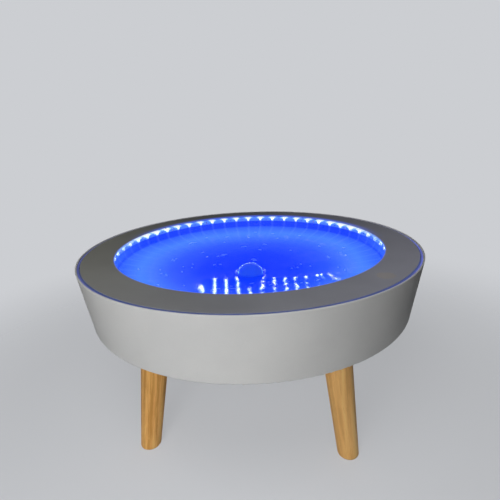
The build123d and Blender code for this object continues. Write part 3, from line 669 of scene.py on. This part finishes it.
@dataclass(frozen=True)
class LampLight:
    """Colours and strength of the light that the lamps throw beside them."""

    lamps: Lamps = Lamps()
    between: Rgb = linear(112, 166, 255)
    halo: Rgb = linear(176, 230, 255)
    core: Rgb = linear(252, 255, 255)
    side_growth: float = 1.2
    mirrored: float = 60.0

    @staticmethod
    def facing(sheet: MaterialSheet) -> Value:
        """How far the wall turns aside from the eye: 0 where it faces it, 1 where it is seen edge on."""
        outward = sheet.vector("NORMALIZE", sheet.stretch((1.0, 1.0, 0.0)))
        return sheet.take("LayerWeight", {"Blend": 0.5, "Normal": outward}, "Facing")

    def strength(self, sheet: MaterialSheet, mask: Value, seen: Any) -> Value:
        """Strength of the light: plain to the eye, and where it is mirrored as strong as lamps are.

        Args:
            sheet: The material that it belongs to.
            mask: Where the lamps are.
            seen: The strength as the eye sees it.

        Returns:
            The strength.
        """
        sheet.material.cycles.emission_sampling = "NONE"
        path = sheet.outputs(sheet.node("LightPath"))
        return path["is_glossy_ray"] * path["is_reflection_ray"] * mask * self.mirrored + seen

    def wash(self, sheet: MaterialSheet, colour: Any, where: Any = 1.0) -> tuple[Value, dict[str, Value]]:
        """Lays the lamps' light over a colour.

        Args:
            sheet: The material that it belongs to.
            colour: The colour without it.
            where: Mask of the part that the lamps light.

        Returns:
            The lit colour, and the outputs of the lamp glow.
        """
        facing = self.facing(sheet)
        grow = sheet.ramp(facing, 0.1, 0.4, 1.0, 1.0 + self.side_growth)
        fade = sheet.ramp(facing, 0.3, 0.6, 1.0, 0.15) * where
        lamp = sheet.effect(sheet.effects.lamp_glow, grow=grow, **self.lamps.values())
        colour = sheet.blend(lamp["band"] * where, colour, self.between)
        colour = sheet.blend(lamp["halo"] * fade, colour, self.halo)
        return sheet.blend(lamp["core"] * fade, colour, self.core), lamp


@dataclass(frozen=True)
class LitBasin(Finish):
    """Glossy plastic of the basin, with the deep blue light from its wall painted into its colour and glow.
    Spans are distances from the middle.
    """

    name: str = "basin_lit_blue"
    light: LampLight = LampLight()
    reach: float = 270 * MM
    # Blues of the painted lamp light, from the middle of the basin out to its wall and the wall's foot.
    centre: Rgb = linear(10, 54, 252)
    inner: Rgb = linear(20, 62, 254)
    middle: Rgb = linear(44, 88, 255)
    bright: Rgb = linear(72, 130, 255)
    edge: Rgb = linear(52, 102, 255)
    foot: Rgb = linear(20, 66, 252)
    foot_span: Span = (257 * MM, 261.4 * MM)
    wall_span: Span = (259.5 * MM, 262.5 * MM)
    flange_span: Span = (270 * MM, 280 * MM)
    streak_span: Span = (150 * MM, 240 * MM)
    dull_span: Span = (185 * MM, 225 * MM)
    glow: float = 0.95
    own_colour: float = 0.15
    roughness: float = 0.085

    def paint(self, sheet: MaterialSheet) -> None:
        """Painted blue lamp light that changes outward, the lamps' light on the wall, faint painted
        reflections of the lamps as streaks, and soft waves.

        Args:
            sheet: The material in the making.
        """
        radius, light = sheet.radius, self.light
        cloud = (sheet.noise(9.0) - 0.5) * 0.1
        # Painted lamp light: blues that grow lighter from the middle outward, and darker again at the wall's
        # foot.
        stops = [(0.0, self.centre), (0.14, self.centre), (0.38, self.inner), (0.6, self.middle)]
        stops += [(0.83, self.bright), (0.95, self.edge), (1.0, self.edge)]
        colour = sheet.bands(radius / self.reach + cloud, stops)
        colour = sheet.blend(sheet.ramp(radius, *self.foot_span), colour, self.foot)
        at_wall = sheet.ramp(radius, *self.wall_span) * sheet.ramp(radius, *self.flange_span, 1.0, 0.1)
        # Painted light: the wall takes its lighter edge colour where it is seen edge on.
        turned = sheet.ramp(light.facing(sheet), 0.3, 0.75) * at_wall
        colour, lamp = light.wash(sheet, sheet.blend(turned, colour, self.edge), at_wall)
        # Faint painted reflections of the lamps: thin streaks on the floor that point at each lamp.
        streak = sheet.ramp(abs(lamp["arc"]), 0.0, 5 * MM, 0.05, 0.0) * sheet.ramp(radius, *self.streak_span)
        colour = sheet.blend(streak, colour, light.halo)
        tone = sheet.effect(sheet.effects.grain, fine=700.0, broad=30.0)["tone"]
        rough = sheet.ramp(tone, 0.0, 1.0, 0.7 * self.roughness, 1.2 * self.roughness)
        sheet.set(roughness=rough * sheet.ramp(radius, *self.dull_span, 1.0, 8.0), ior=1.06)
        sheet.glow(colour, self.own_colour, light.strength(sheet, lamp["hot"] * at_wall, self.glow))
        sheet.bump(sheet.effect(sheet.effects.waves)["height"], MM)


@dataclass(frozen=True)
class GlowingSeal(Finish):
    """Milky gasket, with the blue light that leaks round the glass painted on it as a glow."""

    name: str = "gasket_glowing"
    bright: Rgb = linear(100, 110, 200)
    dim: Rgb = linear(62, 66, 92)
    bright_angle: float = math.radians(-58)
    lit_span: Span = (319.2 * MM, 320.2 * MM)
    glow: float = 0.95
    own_colour: float = 0.3

    def paint(self, sheet: MaterialSheet) -> None:
        """Painted blue glow that is brightest on its outer part and towards one side of the table.

        Args:
            sheet: The material in the making.
        """
        x, y, _ = sheet.parts()
        turn = sheet.math("ARCTAN2", y, x) - self.bright_angle
        share = sheet.ramp(sheet.math("COSINE", turn), -0.2, 0.7, 0.4, 1.0)
        grain = sheet.effect(sheet.effects.grain, fine=600.0, broad=35.0)
        share = share * sheet.ramp(grain["tone"], 0.0, 1.0, 0.7, 1.0)
        share = share * sheet.ramp(sheet.radius, *self.lit_span, 0.4, 1.0)
        sheet.set(roughness=0.5)
        # Painted glow of the lamps' light leaking round the glass.
        sheet.glow(sheet.blend(share, self.dim, self.bright), self.own_colour, self.glow)
        sheet.bump(grain["height"], 0.05 * MM)


@dataclass(frozen=True)
class LitStrip(Finish):
    """White flexible circuit, with its lamps' blue light painted into its colour and glow."""

    name: str = "strip_lit_tape"
    light: LampLight = LampLight()
    # The tape and its tracks take the lamps' blue light painted into their colours.
    tape: Rgb = linear(60, 110, 255)
    track: Rgb = linear(50, 96, 245)
    track_width: float = 0.35 * MM
    track_rows: tuple[float, ...] = (-3.1 * MM, -1.6 * MM, 1.6 * MM, 3.1 * MM)
    glow: float = 0.95
    own_colour: float = 0.5

    def paint(self, sheet: MaterialSheet) -> None:
        """Tape with raised tracks along it, under the lamps' light.

        Args:
            sheet: The material in the making.
        """
        colour, lamp = self.light.wash(sheet, self.tape)
        beside = [abs(lamp["under"] - row) for row in self.track_rows]
        tracks = sheet.most(*(sheet.fall(off, self.track_width, 1.6 * self.track_width) for off in beside))
        grain = sheet.effect(sheet.effects.grain, fine=1400.0, broad=60.0)
        colour = sheet.blend(tracks * (0.3 - lamp["core"] * 0.3), colour, self.track)
        sheet.set(roughness=sheet.ramp(grain["tone"], 0.0, 1.0, 0.35, 0.5))
        sheet.glow(colour, self.own_colour, self.light.strength(sheet, lamp["hot"], self.glow))
        sheet.bump(grain["height"] + tracks, 0.03 * MM)


@dataclass(frozen=True)
class LampChip(Finish):
    """Lamp body of white ceramic with its bright lens."""

    name: str = "lamp_chip"
    light: LampLight = LampLight()
    body: Rgb = linear(240, 250, 255)
    lens: float = 0.9
    lens_edge: float = 0.1 * MM
    face_span: Span = (1.9 * MM, 1.4 * MM)
    from_aside: float = 0.1

    def paint(self, sheet: MaterialSheet) -> None:
        """White body with a round lens on the face that looks inward, dimmer below and from aside.

        Args:
            sheet: The material in the making.
        """
        lamps = self.light.lamps
        lamp = sheet.effect(sheet.effects.lamp_glow, **lamps.values())
        away = sheet.vector("LENGTH", sheet.take("CombineXYZ", {0: lamp["arc"], 1: lamp["under"]}))
        inward = sheet.fall(sheet.radius, *(lamps.radius - depth for depth in self.face_span))
        inside, outside = lamps.lens_radius - self.lens_edge, lamps.lens_radius + self.lens_edge
        lens = sheet.fall(away, inside, outside) * inward
        grain = sheet.effect(sheet.effects.grain, fine=2500.0, broad=200.0)
        seen = (lens * self.lens + 0.9) * sheet.ramp(lamp["under"], -2 * MM, 2 * MM, 1.0, 0.4)
        seen = seen * sheet.ramp(self.light.facing(sheet), 0.35, 0.65, 1.0, self.from_aside)
        sheet.set(base_color=sheet.blend(grain["tone"], scaled(self.body, 0.8), self.body), roughness=0.35)
        sheet.set(emission_color=sheet.blend(lens, scaled(self.body, 0.9), WHITE))
        sheet.set(emission_strength=self.light.strength(sheet, inward, seen))
        sheet.bump(grain["height"], 0.02 * MM)


@dataclass(frozen=True)
class LitCap(Finish):
    """Plated metal in the basin's middle, with the deep blue light of the basin round it painted on as a
    glow.
    """

    name: str = "cap_lit_blue"
    colour: Rgb = linear(2, 36, 250)
    shade: Rgb = linear(2, 26, 236)
    mirror: Rgb = (0.024, 0.1, 0.15)
    metal: Rgb = (0.72, 0.73, 0.75)
    lit_from: float = 200 * MM
    soft_edge: float = 4 * MM
    glow: float = 0.93

    def paint(self, sheet: MaterialSheet) -> None:
        """Turned metal, bare below a height and a dark mirror with a painted blue glow above it.

        Args:
            sheet: The material in the making.
        """
        lines = sheet.effect(sheet.effects.tool_lines, across=sheet.radius, pitch=1.2 * MM)
        grain = sheet.effect(sheet.effects.grain, fine=900.0, broad=90.0)
        share = sheet.ramp(sheet.parts()[2], self.lit_from, self.lit_from + self.soft_edge)
        bare = sheet.blend(lines["tone"], scaled(self.metal, 0.85), self.metal)
        rough = sheet.ramp(lines["tone"], 0.0, 1.0, 0.005, 0.01)
        sheet.set(base_color=sheet.blend(share, bare, self.mirror), roughness=rough, metallic=1.0)
        # Painted glow: the blue light of the basin, given off by the metal itself.
        lit = sheet.blend(grain["tone"], self.shade, self.colour)
        sheet.set(emission_color=lit, emission_strength=share * self.glow)
        sheet.bump(lines["height"], 0.0015 * MM)


@dataclass(frozen=True)
class ClearGlass(Finish):
    """Clear low-reflection glass with faint smears and a green ground edge."""

    name: str = "glass_clear"
    edge_span: Span = (316.5 * MM, 317.7 * MM)
    tint: Rgb = (0.975, 0.99, 0.99)
    edge: Rgb = (0.55, 0.8, 0.72)
    ior: float = 1.02

    def paint(self, sheet: MaterialSheet) -> None:
        """Glass that is a little rougher in its smears and at its edge.

        Args:
            sheet: The material in the making.
        """
        smears = sheet.noise(11.0, detail=5.0, rough=0.6, warp=1.2, at=sheet.stretch((1.0, 2.2, 1.0)))
        edge = sheet.ramp(sheet.radius, *self.edge_span)
        rough = sheet.ramp(smears, 0.55, 0.8, 0.0, 0.02) + edge * 0.25
        sheet.set(base_color=sheet.blend(edge, self.tint, self.edge), roughness=rough)
        sheet.set(ior=self.ior, transmission_weight=1.0)
        sheet.bump(smears, 0.01 * MM, 0.3)


@dataclass(frozen=True)
class WaterDrop(Finish):
    """Clear water standing in drops on the lit basin."""

    name: str = "water_drop"
    ior: float = 1.08
    tint: Rgb = linear(235, 243, 255)
    shade: Rgb = linear(196, 214, 255)
    glint: Rgb = linear(96, 142, 255)
    bright_glint: Rgb = linear(140, 180, 255)
    glow: float = 0.27

    def paint(self, sheet: MaterialSheet) -> None:
        """Rippled water with a faint painted glow of the basin's blue light.

        Args:
            sheet: The material in the making.
        """
        ripple = sheet.noise(240.0, detail=2.0)
        rough = sheet.ramp(ripple, 0.3, 0.7, 0.35, 0.5)
        sheet.set(base_color=sheet.blend(ripple, self.shade, self.tint), roughness=rough)
        # Painted glow and glints of the basin's blue light in the water.
        sheet.set(ior=self.ior, transmission_weight=1.0, emission_strength=self.glow)
        sheet.set(emission_color=sheet.blend(ripple, self.glint, self.bright_glint))
        sheet.bump(ripple, 0.2 * MM)


@dataclass(frozen=True)
class BorderPrint(Finish):
    """Satin grey border on the glass, with a dried water mark and faint smears, and with painted sheen,
    painted reflection and painted glow in its colour.
    """

    name: str = "border_satin_grey"
    colour: Rgb = linear(137, 138, 143)
    # Painted sheen: lighter towards both sides, yellowish on the left and bluish on the right.
    warm_painted_sheen: Rgb = linear(150, 150, 142)
    cool_painted_sheen: Rgb = linear(172, 173, 186)
    worn: Rgb = linear(140, 142, 146)
    dust_colour: Rgb = linear(150, 150, 150)
    mark_colour: Rgb = linear(186, 172, 146)
    far_colour: Rgb = linear(56, 60, 78)
    # Colour of the painted glow along the inner edge.
    lit: Rgb = linear(34, 70, 190)
    lit_width: float = 20 * MM
    glow: float = 1.1
    inner_radius: float = 261 * MM
    mark_centre: Place = (220.4 * MM, -193.4 * MM, 342.5 * MM)
    mark_size: float = 15 * MM
    roughness: float = 0.46

    def paint(self, sheet: MaterialSheet) -> None:
        """Grey under a painted sheen that goes from yellowish to bluish across the table, with its marks, a
        painted dark reflection on the far side, and a painted glow along its inner edge.

        Args:
            sheet: The material in the making.
        """
        effects, radius, inside = sheet.effects, sheet.radius, self.inner_radius
        grain = sheet.effect(effects.grain, fine=1300.0, broad=10.0)
        scuffs = sheet.effect(effects.scuffs, scale=26.0, amount=0.25)
        dust = sheet.effect(effects.dust, amount=0.06)["mask"]
        wear = sheet.effect(effects.wear, radius=0.6 * MM, amount=0.5)["mask"]
        x, y, _ = sheet.parts()
        # Painted sheen across the table, from the left side to the right.
        colour = sheet.bands(x * 1.5 + 0.5, [(0.02, self.warm_painted_sheen), (0.5, self.colour), (0.98, self.cool_painted_sheen)])
        colour = sheet.blend(sheet.ramp(grain["tone"], 0.0, 1.0, 0.1, 0.0), colour, BLACK)
        away = sheet.vector("DISTANCE", sheet.point, self.mark_centre)
        uneven = (sheet.noise(160.0) - 0.5) * 0.012
        mark = sheet.fall(away + uneven, self.mark_size * 0.8, self.mark_size)
        # Far side: where the painted dark reflection lies, and where the painted glow along the inner edge
        # reaches furthest.
        far_side = sheet.ramp(y, 0.0, 0.2)
        colour = sheet.blend(mark * 0.3, colour, self.mark_colour)
        colour = sheet.blend(dust, colour, self.dust_colour)
        colour = sheet.blend(wear, colour, self.worn)
        colour = sheet.blend(far_side * 0.12, colour, self.far_colour)
        rough = sheet.ramp(grain["tone"], 0.0, 1.0, self.roughness - 0.04, self.roughness + 0.05)
        rough = sheet.math("ADD", rough + scuffs["rub"] * 0.1, mark * 0.15, clamp=True)
        # Painted glow of the lamps' light along the border's inner edge, stronger on the far side.
        near_light = sheet.fall(radius, inside, inside + self.lit_width) * far_side
        rim = sheet.ramp(radius, inside + 0.6 * MM, inside + 2.4 * MM, 0.6, 0.0)
        sheet.set(base_color=colour, roughness=rough, specular_ior_level=0.3)
        sheet.set(emission_color=opaque(self.lit), emission_strength=sheet.most(near_light, rim) * self.glow)
        sheet.bump(grain["height"] - scuffs["scratch"], 0.01 * MM)


@dataclass(frozen=True)
class PaleFloor(Finish):
    """Matt pale floor that shows only from above and fades into the backdrop."""

    name: str = "floor_pale"
    colour: Rgb = linear(222, 224, 228)
    backdrop: Rgb = WHITE
    lift: float = 0.62
    fade: Span = (0.42, 1.25)

    def paint(self, sheet: MaterialSheet) -> None:
        """Matt colour lifted towards the backdrop, and open from below and far out.

        Args:
            sheet: The material in the making.
        """
        tone = sheet.ramp(sheet.noise(3.0, detail=4.0), 0.3, 0.7)
        sheet.set(base_color=sheet.blend(tone, scaled(self.colour, 0.985), self.colour), roughness=0.8)
        sheet.set(specular_ior_level=0.1)
        seen = sheet.take("LightPath", out="Is Camera Ray") * self.lift
        pale = sheet.take("Emission", {"Color": opaque(self.backdrop), "Strength": 1.0})
        lifted = sheet.take("MixShader", {0: seen, 1: sheet.surface, 2: pale})
        under = sheet.take("NewGeometry", out="Backfacing")
        clear = sheet.most(under, sheet.ramp(sheet.radius, *self.fade))
        sheet.show(sheet.take("MixShader", {0: clear, 1: lifted, 2: sheet.take("BsdfTransparent")}))


@dataclass
class Dresser:
    """Makes each finish once and puts it on CAD nodes and on new pieces."""

    effects: Effects = field(default_factory=Effects)
    made: dict[str, bpy.types.Material] = field(default_factory=dict)

    def put(self, finish: Finish, thing: bpy.types.Object) -> None:
        """Gives an object one finish in all its material slots.

        Args:
            finish: The finish.
            thing: The object.
        """
        if finish.name not in self.made:
            self.made[finish.name] = finish.make(self.effects)
        if thing.material_slots:
            for slot in thing.material_slots:
                slot.material = self.made[finish.name]
        else:
            thing.data.materials.append(self.made[finish.name])

    def dress(self, finish: Finish, *nodes: str) -> None:
        """Gives CAD nodes their finish and reports each.

        Args:
            finish: The finish.
            *nodes: Names of the nodes.
        """
        for node in nodes:
            self.put(finish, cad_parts[node])
            log.info("%s: %s", node, finish.name)

    def add(self, finish: Finish, thing: bpy.types.Object, body: str) -> None:
        """Puts a new piece on its body with its finish and reports it.

        Args:
            finish: The finish.
            thing: The piece.
            body: Name of the body that it rides on.
        """
        self.put(finish, thing)
        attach(thing, body)
        log.info("%s rides on %s: %s", thing.name, body, finish.name)


def mesh_object(name: str, shape: bmesh.types.BMesh, smooth: bool = True) -> bpy.types.Object:
    """Object made of a finished bmesh.

    Args:
        name: Name of the piece.
        shape: Its shape, which is used up.
        smooth: Whether its faces are shaded smooth.

    Returns:
        The object, in the scene.
    """
    bmesh.ops.recalc_face_normals(shape, faces=shape.faces)
    mesh = bpy.data.meshes.new(name)
    shape.to_mesh(mesh)
    shape.free()
    mesh.polygons.foreach_set("use_smooth", [smooth] * len(mesh.polygons))
    made = bpy.data.objects.new(name, mesh)
    bpy.context.scene.collection.objects.link(made)
    return made


Looks = dict[Finish, tuple[str, ...]]


@dataclass
class Assembly:
    """Base of the sub-assemblies, each of which lists its CAD nodes by finish."""

    def looks(self) -> Looks:
        """Names of the nodes by finish."""
        raise NotImplementedError

    def dress(self, dresser: Dresser) -> None:
        """Gives each node its finish.

        Args:
            dresser: What puts the finishes on.
        """
        for finish, nodes in self.looks().items():
            dresser.dress(finish, *nodes)


@dataclass
class Drum(Assembly):
    """White drum, with what carries the basin and the glass inside it."""

    white: Moulded = Moulded(
        "shell_white", linear(214, 214, 212), linear(204, 204, 203), roughness=0.42, specular=0.4,
        fine=1100.0, broad=7.0, depth=0.012 * MM, scuffing=0.18, scuff_scale=22.0, dusting=0.05,
        edge_radius=1.2 * MM, edge_colour=linear(226, 226, 224),
    )
    posts: Wood = Wood(
        "post_pine", seed=2.3, streaks=60.0, roughness=0.6,
        light=linear(226, 196, 148), mid=linear(210, 176, 124), dark=linear(180, 140, 88),
    )
    carrier: Moulded = Moulded("carrier_grey", linear(176, 178, 180), linear(158, 160, 163), roughness=0.55)

    def looks(self) -> Looks:
        """Nodes of the drum by finish."""
        return {
            self.white: ("shell",),
            Ply(): ("base_board",),
            self.posts: ("support_posts",),
            self.carrier: ("carrier_ring",),
            GlowingSeal(): ("glass_gasket",),
        }


@dataclass
class GlassLid(Assembly):
    """The glass top with its border, which lifts off."""

    def looks(self) -> Looks:
        """Nodes of the lid by finish."""
        return {ClearGlass(): ("glass_top",), BorderPrint(): ("border_ring",)}


@dataclass
class Legs(Assembly):
    """Four turned legs on their plates, each leaning outward."""

    height: float = 234 * MM
    lean: float = 39.5 * MM
    plate: Moulded = Moulded(
        "plate_black", linear(38, 38, 40), linear(30, 30, 32), roughness=0.5, depth=0.05 * MM,
        edge_radius=0.8 * MM, edge_colour=linear(92, 92, 95),
    )

    def looks(self) -> Looks:
        """Nodes of the legs and their plates by finish.

        Returns:
            Their names, with a wood of its own for each leg.
        """
        splay = math.atan(self.lean / self.height)
        looks: Looks = {self.plate: ("leg_plates",)}
        for number, side in enumerate(Side):
            # The front right leg is paler by painted light; the other legs differ a little in tone.
            pale = 0.3 if side is Side.FRONT_RIGHT else 0.08 * number
            seed = 1.7 + 3.1 * number
            wood = Wood(f"{side.node}_beech", math.radians(side.value), splay, seed, pale=pale)
            looks[wood] = (side.node,)
        return looks


@dataclass
class Basin(Assembly):
    """Basin with its light strip and the drops that stand in it."""

    lamps: Lamps = Lamps()
    lamps_per_cut: int = 3
    pad_side: float = 1.3 * MM
    pad_thickness: float = 0.08 * MM
    pad_inset: float = 0.55 * MM
    pad_rows: tuple[float, ...] = (-2.6 * MM, -0.9 * MM, 0.9 * MM, 2.6 * MM)
    pad_columns: tuple[float, ...] = (-1.0 * MM, 1.0 * MM)
    drop_count: int = 66
    nearest: float = 40 * MM
    furthest: float = 232 * MM
    shortest: float = 2.2 * MM
    longest: float = 8.5 * MM
    drop_from: float = 330 * MM
    seed: int = 12
    copper: Metal = Metal("pad_copper", (0.9, 0.55, 0.3), (0.7, 0.38, 0.2))
    # Black resistors, made dark blue by the lamps' light painted into their colour.
    resistor: Moulded = Moulded("resistor_black", linear(40, 52, 84), linear(28, 38, 66), roughness=0.35)

    def looks(self) -> Looks:
        """Nodes of the basin and its strip by finish."""
        return {
            LitBasin(): ("basin",),
            LitStrip(): ("led_strip",),
            LampChip(): ("led_chips",),
            self.resistor: ("strip_resistors",),
        }

    def dress(self, dresser: Dresser) -> None:
        """Gives each node its finish, and adds the pads and the drops.

        Args:
            dresser: What puts the finishes on.
        """
        super().dress(dresser)
        dresser.add(self.copper, self.pads(), "root")
        dresser.add(WaterDrop(), self.drops(), "root")

    def pads(self) -> bpy.types.Object:
        """Copper pads in pairs where the strip can be cut.

        Returns:
            The pads as one piece.
        """
        shape = bmesh.new()
        size = Matrix.Diagonal((self.pad_thickness, self.pad_side, self.pad_side, 1.0))
        inset = self.lamps.radius - self.pad_inset
        for cut in range(self.lamps_per_cut, self.lamps.count, self.lamps_per_cut):
            turn = Matrix.Rotation(self.lamps.first_angle + cut * self.lamps.step_angle, 4, "Z")
            for row in self.pad_rows:
                for column in self.pad_columns:
                    place = Matrix.Translation((inset, column, self.lamps.height + row))
                    bmesh.ops.create_cube(shape, size=1.0, matrix=turn @ place @ size)
        return mesh_object("strip_pads", shape, smooth=False)

    def drops(self) -> bpy.types.Object:
        """Water drops seated on the basin's floor, most of them drawn out round the middle.

        Returns:
            The drops as one piece.
        """
        chance = random.Random(self.seed)
        floor = BVHTree.FromObject(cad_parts["basin"], bpy.context.evaluated_depsgraph_get())
        shape = bmesh.new()
        for _ in range(self.drop_count):
            angle = chance.uniform(0, math.tau)
            away = self.nearest + (self.furthest - self.nearest) * chance.random() ** 0.8
            length = self.shortest + (self.longest - self.shortest) * chance.random() ** 1.4
            width = min(length, chance.uniform(1.3, 2.3) * MM)
            turn = angle + math.pi / 2 + chance.gauss(0, 0.22)
            bend = chance.uniform(-0.25, 0.25)
            start = Vector((away * math.cos(angle), away * math.sin(angle), self.drop_from))
            spot, normal, _, _ = floor.ray_cast(start, Vector((0, 0, -1)))
            self._drop(shape, spot, normal, turn, length, width, bend)
        return mesh_object("water_drops", shape)

    @staticmethod
    def _drop(
        shape: bmesh.types.BMesh, spot: Vector, normal: Vector,
        turn: float, length: float, width: float, bend: float,
    ) -> None:
        """Adds one closed drop, flat below and domed above.

        Args:
            shape: Where the drop goes.
            spot: The point under its middle.
            normal: The floor's normal there.
            turn: Direction of its length, from +X.
            length: Half its length.
            width: Half its width.
            bend: How far its ends curve aside, as a share of its length.
        """
        sides, rings = 14, 4
        tall, sunk = 0.36 * width, 0.05 * MM
        along = Vector((math.cos(turn), math.sin(turn), 0))
        along = (along - along.dot(normal) * normal).normalized()
        across = normal.cross(along)

        def at(share: float, side: int) -> bmesh.types.BMVert:
            """Adds a point on the dome, at a share of its radius."""
            angle = math.tau * side / sides
            x, y = share * math.cos(angle), share * math.sin(angle)
            rise = tall * math.sqrt(max(0.0, 1 - share * share)) - sunk
            aside = y * width + bend * length * x * x
            return shape.verts.new(spot + along * x * length + across * aside + normal * rise)

        loops = [[at(ring / rings, side) for side in range(sides)] for ring in range(rings, 0, -1)]
        top = at(0.0, 0)
        after = [(side + 1) % sides for side in range(sides)]
        for outer, inner in zip(loops, loops[1:]):
            for side in range(sides):
                shape.faces.new((outer[side], outer[after[side]], inner[after[side]], inner[side]))
        for side in range(sides):
            shape.faces.new((loops[-1][side], loops[-1][after[side]], top))
        shape.faces.new(reversed(loops[0]))


@dataclass
class Waste(Assembly):
    """Push-open waste in the middle of the basin and its fittings below."""

    # The waste's flange takes the same painted blue glow above 270 mm.
    flange: LitCap = LitCap(
        "waste_lit_blue", linear(16, 62, 252), linear(12, 56, 248), (0.004, 0.008, 0.02), lit_from=270 * MM
    )
    spindle: Metal = Metal(
        "spindle_steel", (0.6, 0.6, 0.61), (0.5, 0.5, 0.52), roughness=0.25, lay=Lay.TURNED
    )
    fitting: Moulded = Moulded("fitting_white", linear(224, 224, 220), linear(208, 208, 205), roughness=0.5)
    rubber: Moulded = Moulded(
        "rubber_black", linear(32, 32, 34), linear(24, 24, 26), roughness=0.7, depth=0.08 * MM
    )

    def looks(self) -> Looks:
        """Nodes of the waste and of the small fittings by finish."""
        return {
            self.flange: ("waste_body",),
            LitCap(): ("plug_cap",),
            self.spindle: ("plug_spindle",),
            self.fitting: ("waste_nut", "hose_tail", "lead_clip"),
            self.rubber: ("waste_washer", "hose_seal", "plug_seal", "strip_grommet"),
        }


@dataclass
class Underside(Assembly):
    """Switch, socket, controller and leads in and under the drum's floor, and the screws."""

    black: Moulded = Moulded(
        "plastic_black", linear(34, 34, 36), linear(26, 26, 28), roughness=0.38, depth=0.06 * MM
    )
    rocker: Moulded = Moulded(
        "rocker_black", linear(24, 24, 26), linear(18, 18, 20), roughness=0.25, depth=0.02 * MM
    )
    case: Moulded = Moulded("controller_white", linear(216, 217, 219), linear(203, 204, 207), roughness=0.48)
    circuit: Moulded = Moulded(
        "circuit_green", linear(28, 92, 58), linear(20, 72, 44), roughness=0.32, fine=260.0
    )
    lead: Moulded = Moulded(
        "lead_black", linear(30, 30, 32), linear(23, 23, 25), roughness=0.55, depth=0.06 * MM
    )
    tab: Metal = Metal("tab_brass", (0.78, 0.72, 0.58), (0.62, 0.56, 0.44))
    steel: Metal = Metal("screw_steel", (0.66, 0.66, 0.67), (0.5, 0.5, 0.52), roughness=0.32)

    def looks(self) -> Looks:
        """Nodes in and under the drum's floor, and the screws, by finish."""
        screws = ("post", "carrier", "basin", "leg_plate", "controller")
        return {
            self.black: ("switch_housing", "supply_socket"),
            self.rocker: ("switch_rocker",),
            self.tab: ("switch_tabs", "socket_nut"),
            self.case: ("controller_case", "controller_lid"),
            self.circuit: ("controller_board",),
            self.lead: ("strip_lead", "switch_lead", "socket_lead"),
            self.steel: ("hanger_bolts", *(f"{place}_screws" for place in screws)),
        }


@dataclass
class Studio:
    """Plain pale floor, soft light and the camera."""

    floor_radius: float = 9.0
    backdrop: Rgb = linear(204, 206, 210)
    fill: float = 0.03
    camera_turn: float = math.radians(6.2)
    camera_distance: float = 0.698
    camera_height: float = 0.5362
    pitch: float = 0.2946
    yaw: float = 0.0014
    roll: float = -0.0403
    focal_share: float = 353.4 / 500

    def build(self, dresser: Dresser) -> None:
        """Builds the floor, the world, the lights and the camera.

        Args:
            dresser: What puts the floor's finish on.
        """
        self._floor(dresser)
        self._world()
        self._light("key", (-0.17, -0.97, 0.5), size=0.4, power=3.4)
        self._light("fill", (-2.1, -1.2, 1.5), size=2.0, power=0.1)
        self._light("floor_light", (-0.1, -0.75, 1.45), size=0.6, power=6.7, aim=(-0.1, -0.6, 0.0))
        self._light("back", (0.5, 1.7, 0.5), size=0.9, power=4.0)
        self._camera()

    def _floor(self, dresser: Dresser) -> None:
        """Large disc under the table.

        Args:
            dresser: What puts its finish on.
        """
        shape = bmesh.new()
        bmesh.ops.create_circle(shape, cap_ends=True, segments=96, radius=self.floor_radius)
        floor = mesh_object("floor", shape, smooth=False)
        dresser.put(PaleFloor(backdrop=self.backdrop), floor)

    def _world(self) -> None:
        """Even light from all round, seen as the pale backdrop."""
        world = bpy.data.worlds.new("studio")
        bpy.context.scene.world = world
        sheet = Sheet(tree_of(world))
        lit = sheet.take("Background", {"Color": opaque(WHITE), "Strength": self.fill})
        seen = sheet.take("Background", {"Color": opaque(self.backdrop), "Strength": 1.0})
        path = sheet.outputs(sheet.node("LightPath"))
        shown = sheet.most(path["is_camera_ray"], path["is_transmission_ray"])
        mix = sheet.take("MixShader", {0: shown, 1: lit, 2: seen})
        sheet.node("OutputWorld", {"Surface": mix})

    @staticmethod
    def _light(name: str, place: Place, size: float, power: float, aim: Place = (0.0, 0.0, 0.2)) -> None:
        """Adds one soft square lamp, which doesn't show itself.

        Args:
            name: Name of the lamp.
            place: Where it stands.
            size: Side of its square.
            power: Its power in watts.
            aim: The point that it faces.
        """
        data = bpy.data.lights.new(name, "AREA")
        data.size, data.energy = size, power
        lamp = bpy.data.objects.new(name, data)
        lamp.location = place
        lamp.rotation_euler = (Vector(aim) - Vector(place)).to_track_quat("-Z", "Y").to_euler()
        lamp.visible_camera = lamp.visible_glossy = lamp.visible_transmission = False
        bpy.context.scene.collection.objects.link(lamp)

    def _camera(self) -> None:
        """Camera at the photo's viewing angle."""
        level = Vector((math.cos(self.yaw), -math.sin(self.yaw), 0.0))
        ahead = Vector((math.sin(self.yaw), math.cos(self.yaw), 0.0)) * math.cos(self.pitch)
        ahead.z = -math.sin(self.pitch)
        up = level.cross(ahead)
        right = level * math.cos(self.roll) + up * math.sin(self.roll)
        up = up * math.cos(self.roll) - level * math.sin(self.roll)
        turn = Matrix((right, up, -ahead)).transposed().to_4x4()
        place = Matrix.Translation((0.0, -self.camera_distance, self.camera_height))
        data = bpy.data.cameras.new("camera")
        data.lens = self.focal_share * data.sensor_width
        camera = bpy.data.objects.new("camera", data)
        camera.matrix_world = Matrix.Rotation(self.camera_turn, 4, "Z") @ place @ turn
        bpy.context.scene.collection.objects.link(camera)
        bpy.context.scene.camera = camera


def main() -> None:
    """Builds the studio, then dresses each sub-assembly."""
    logging.basicConfig(level=logging.INFO, format="%(name)s: %(message)s")
    view = bpy.context.scene.view_settings
    view.view_transform = "Standard"
    dresser = Dresser()
    Studio().build(dresser)
    for assembly in (Drum(), GlassLid(), Legs(), Basin(), Waste(), Underside()):
        assembly.dress(dresser)


if __name__ == "__main__":
    main()
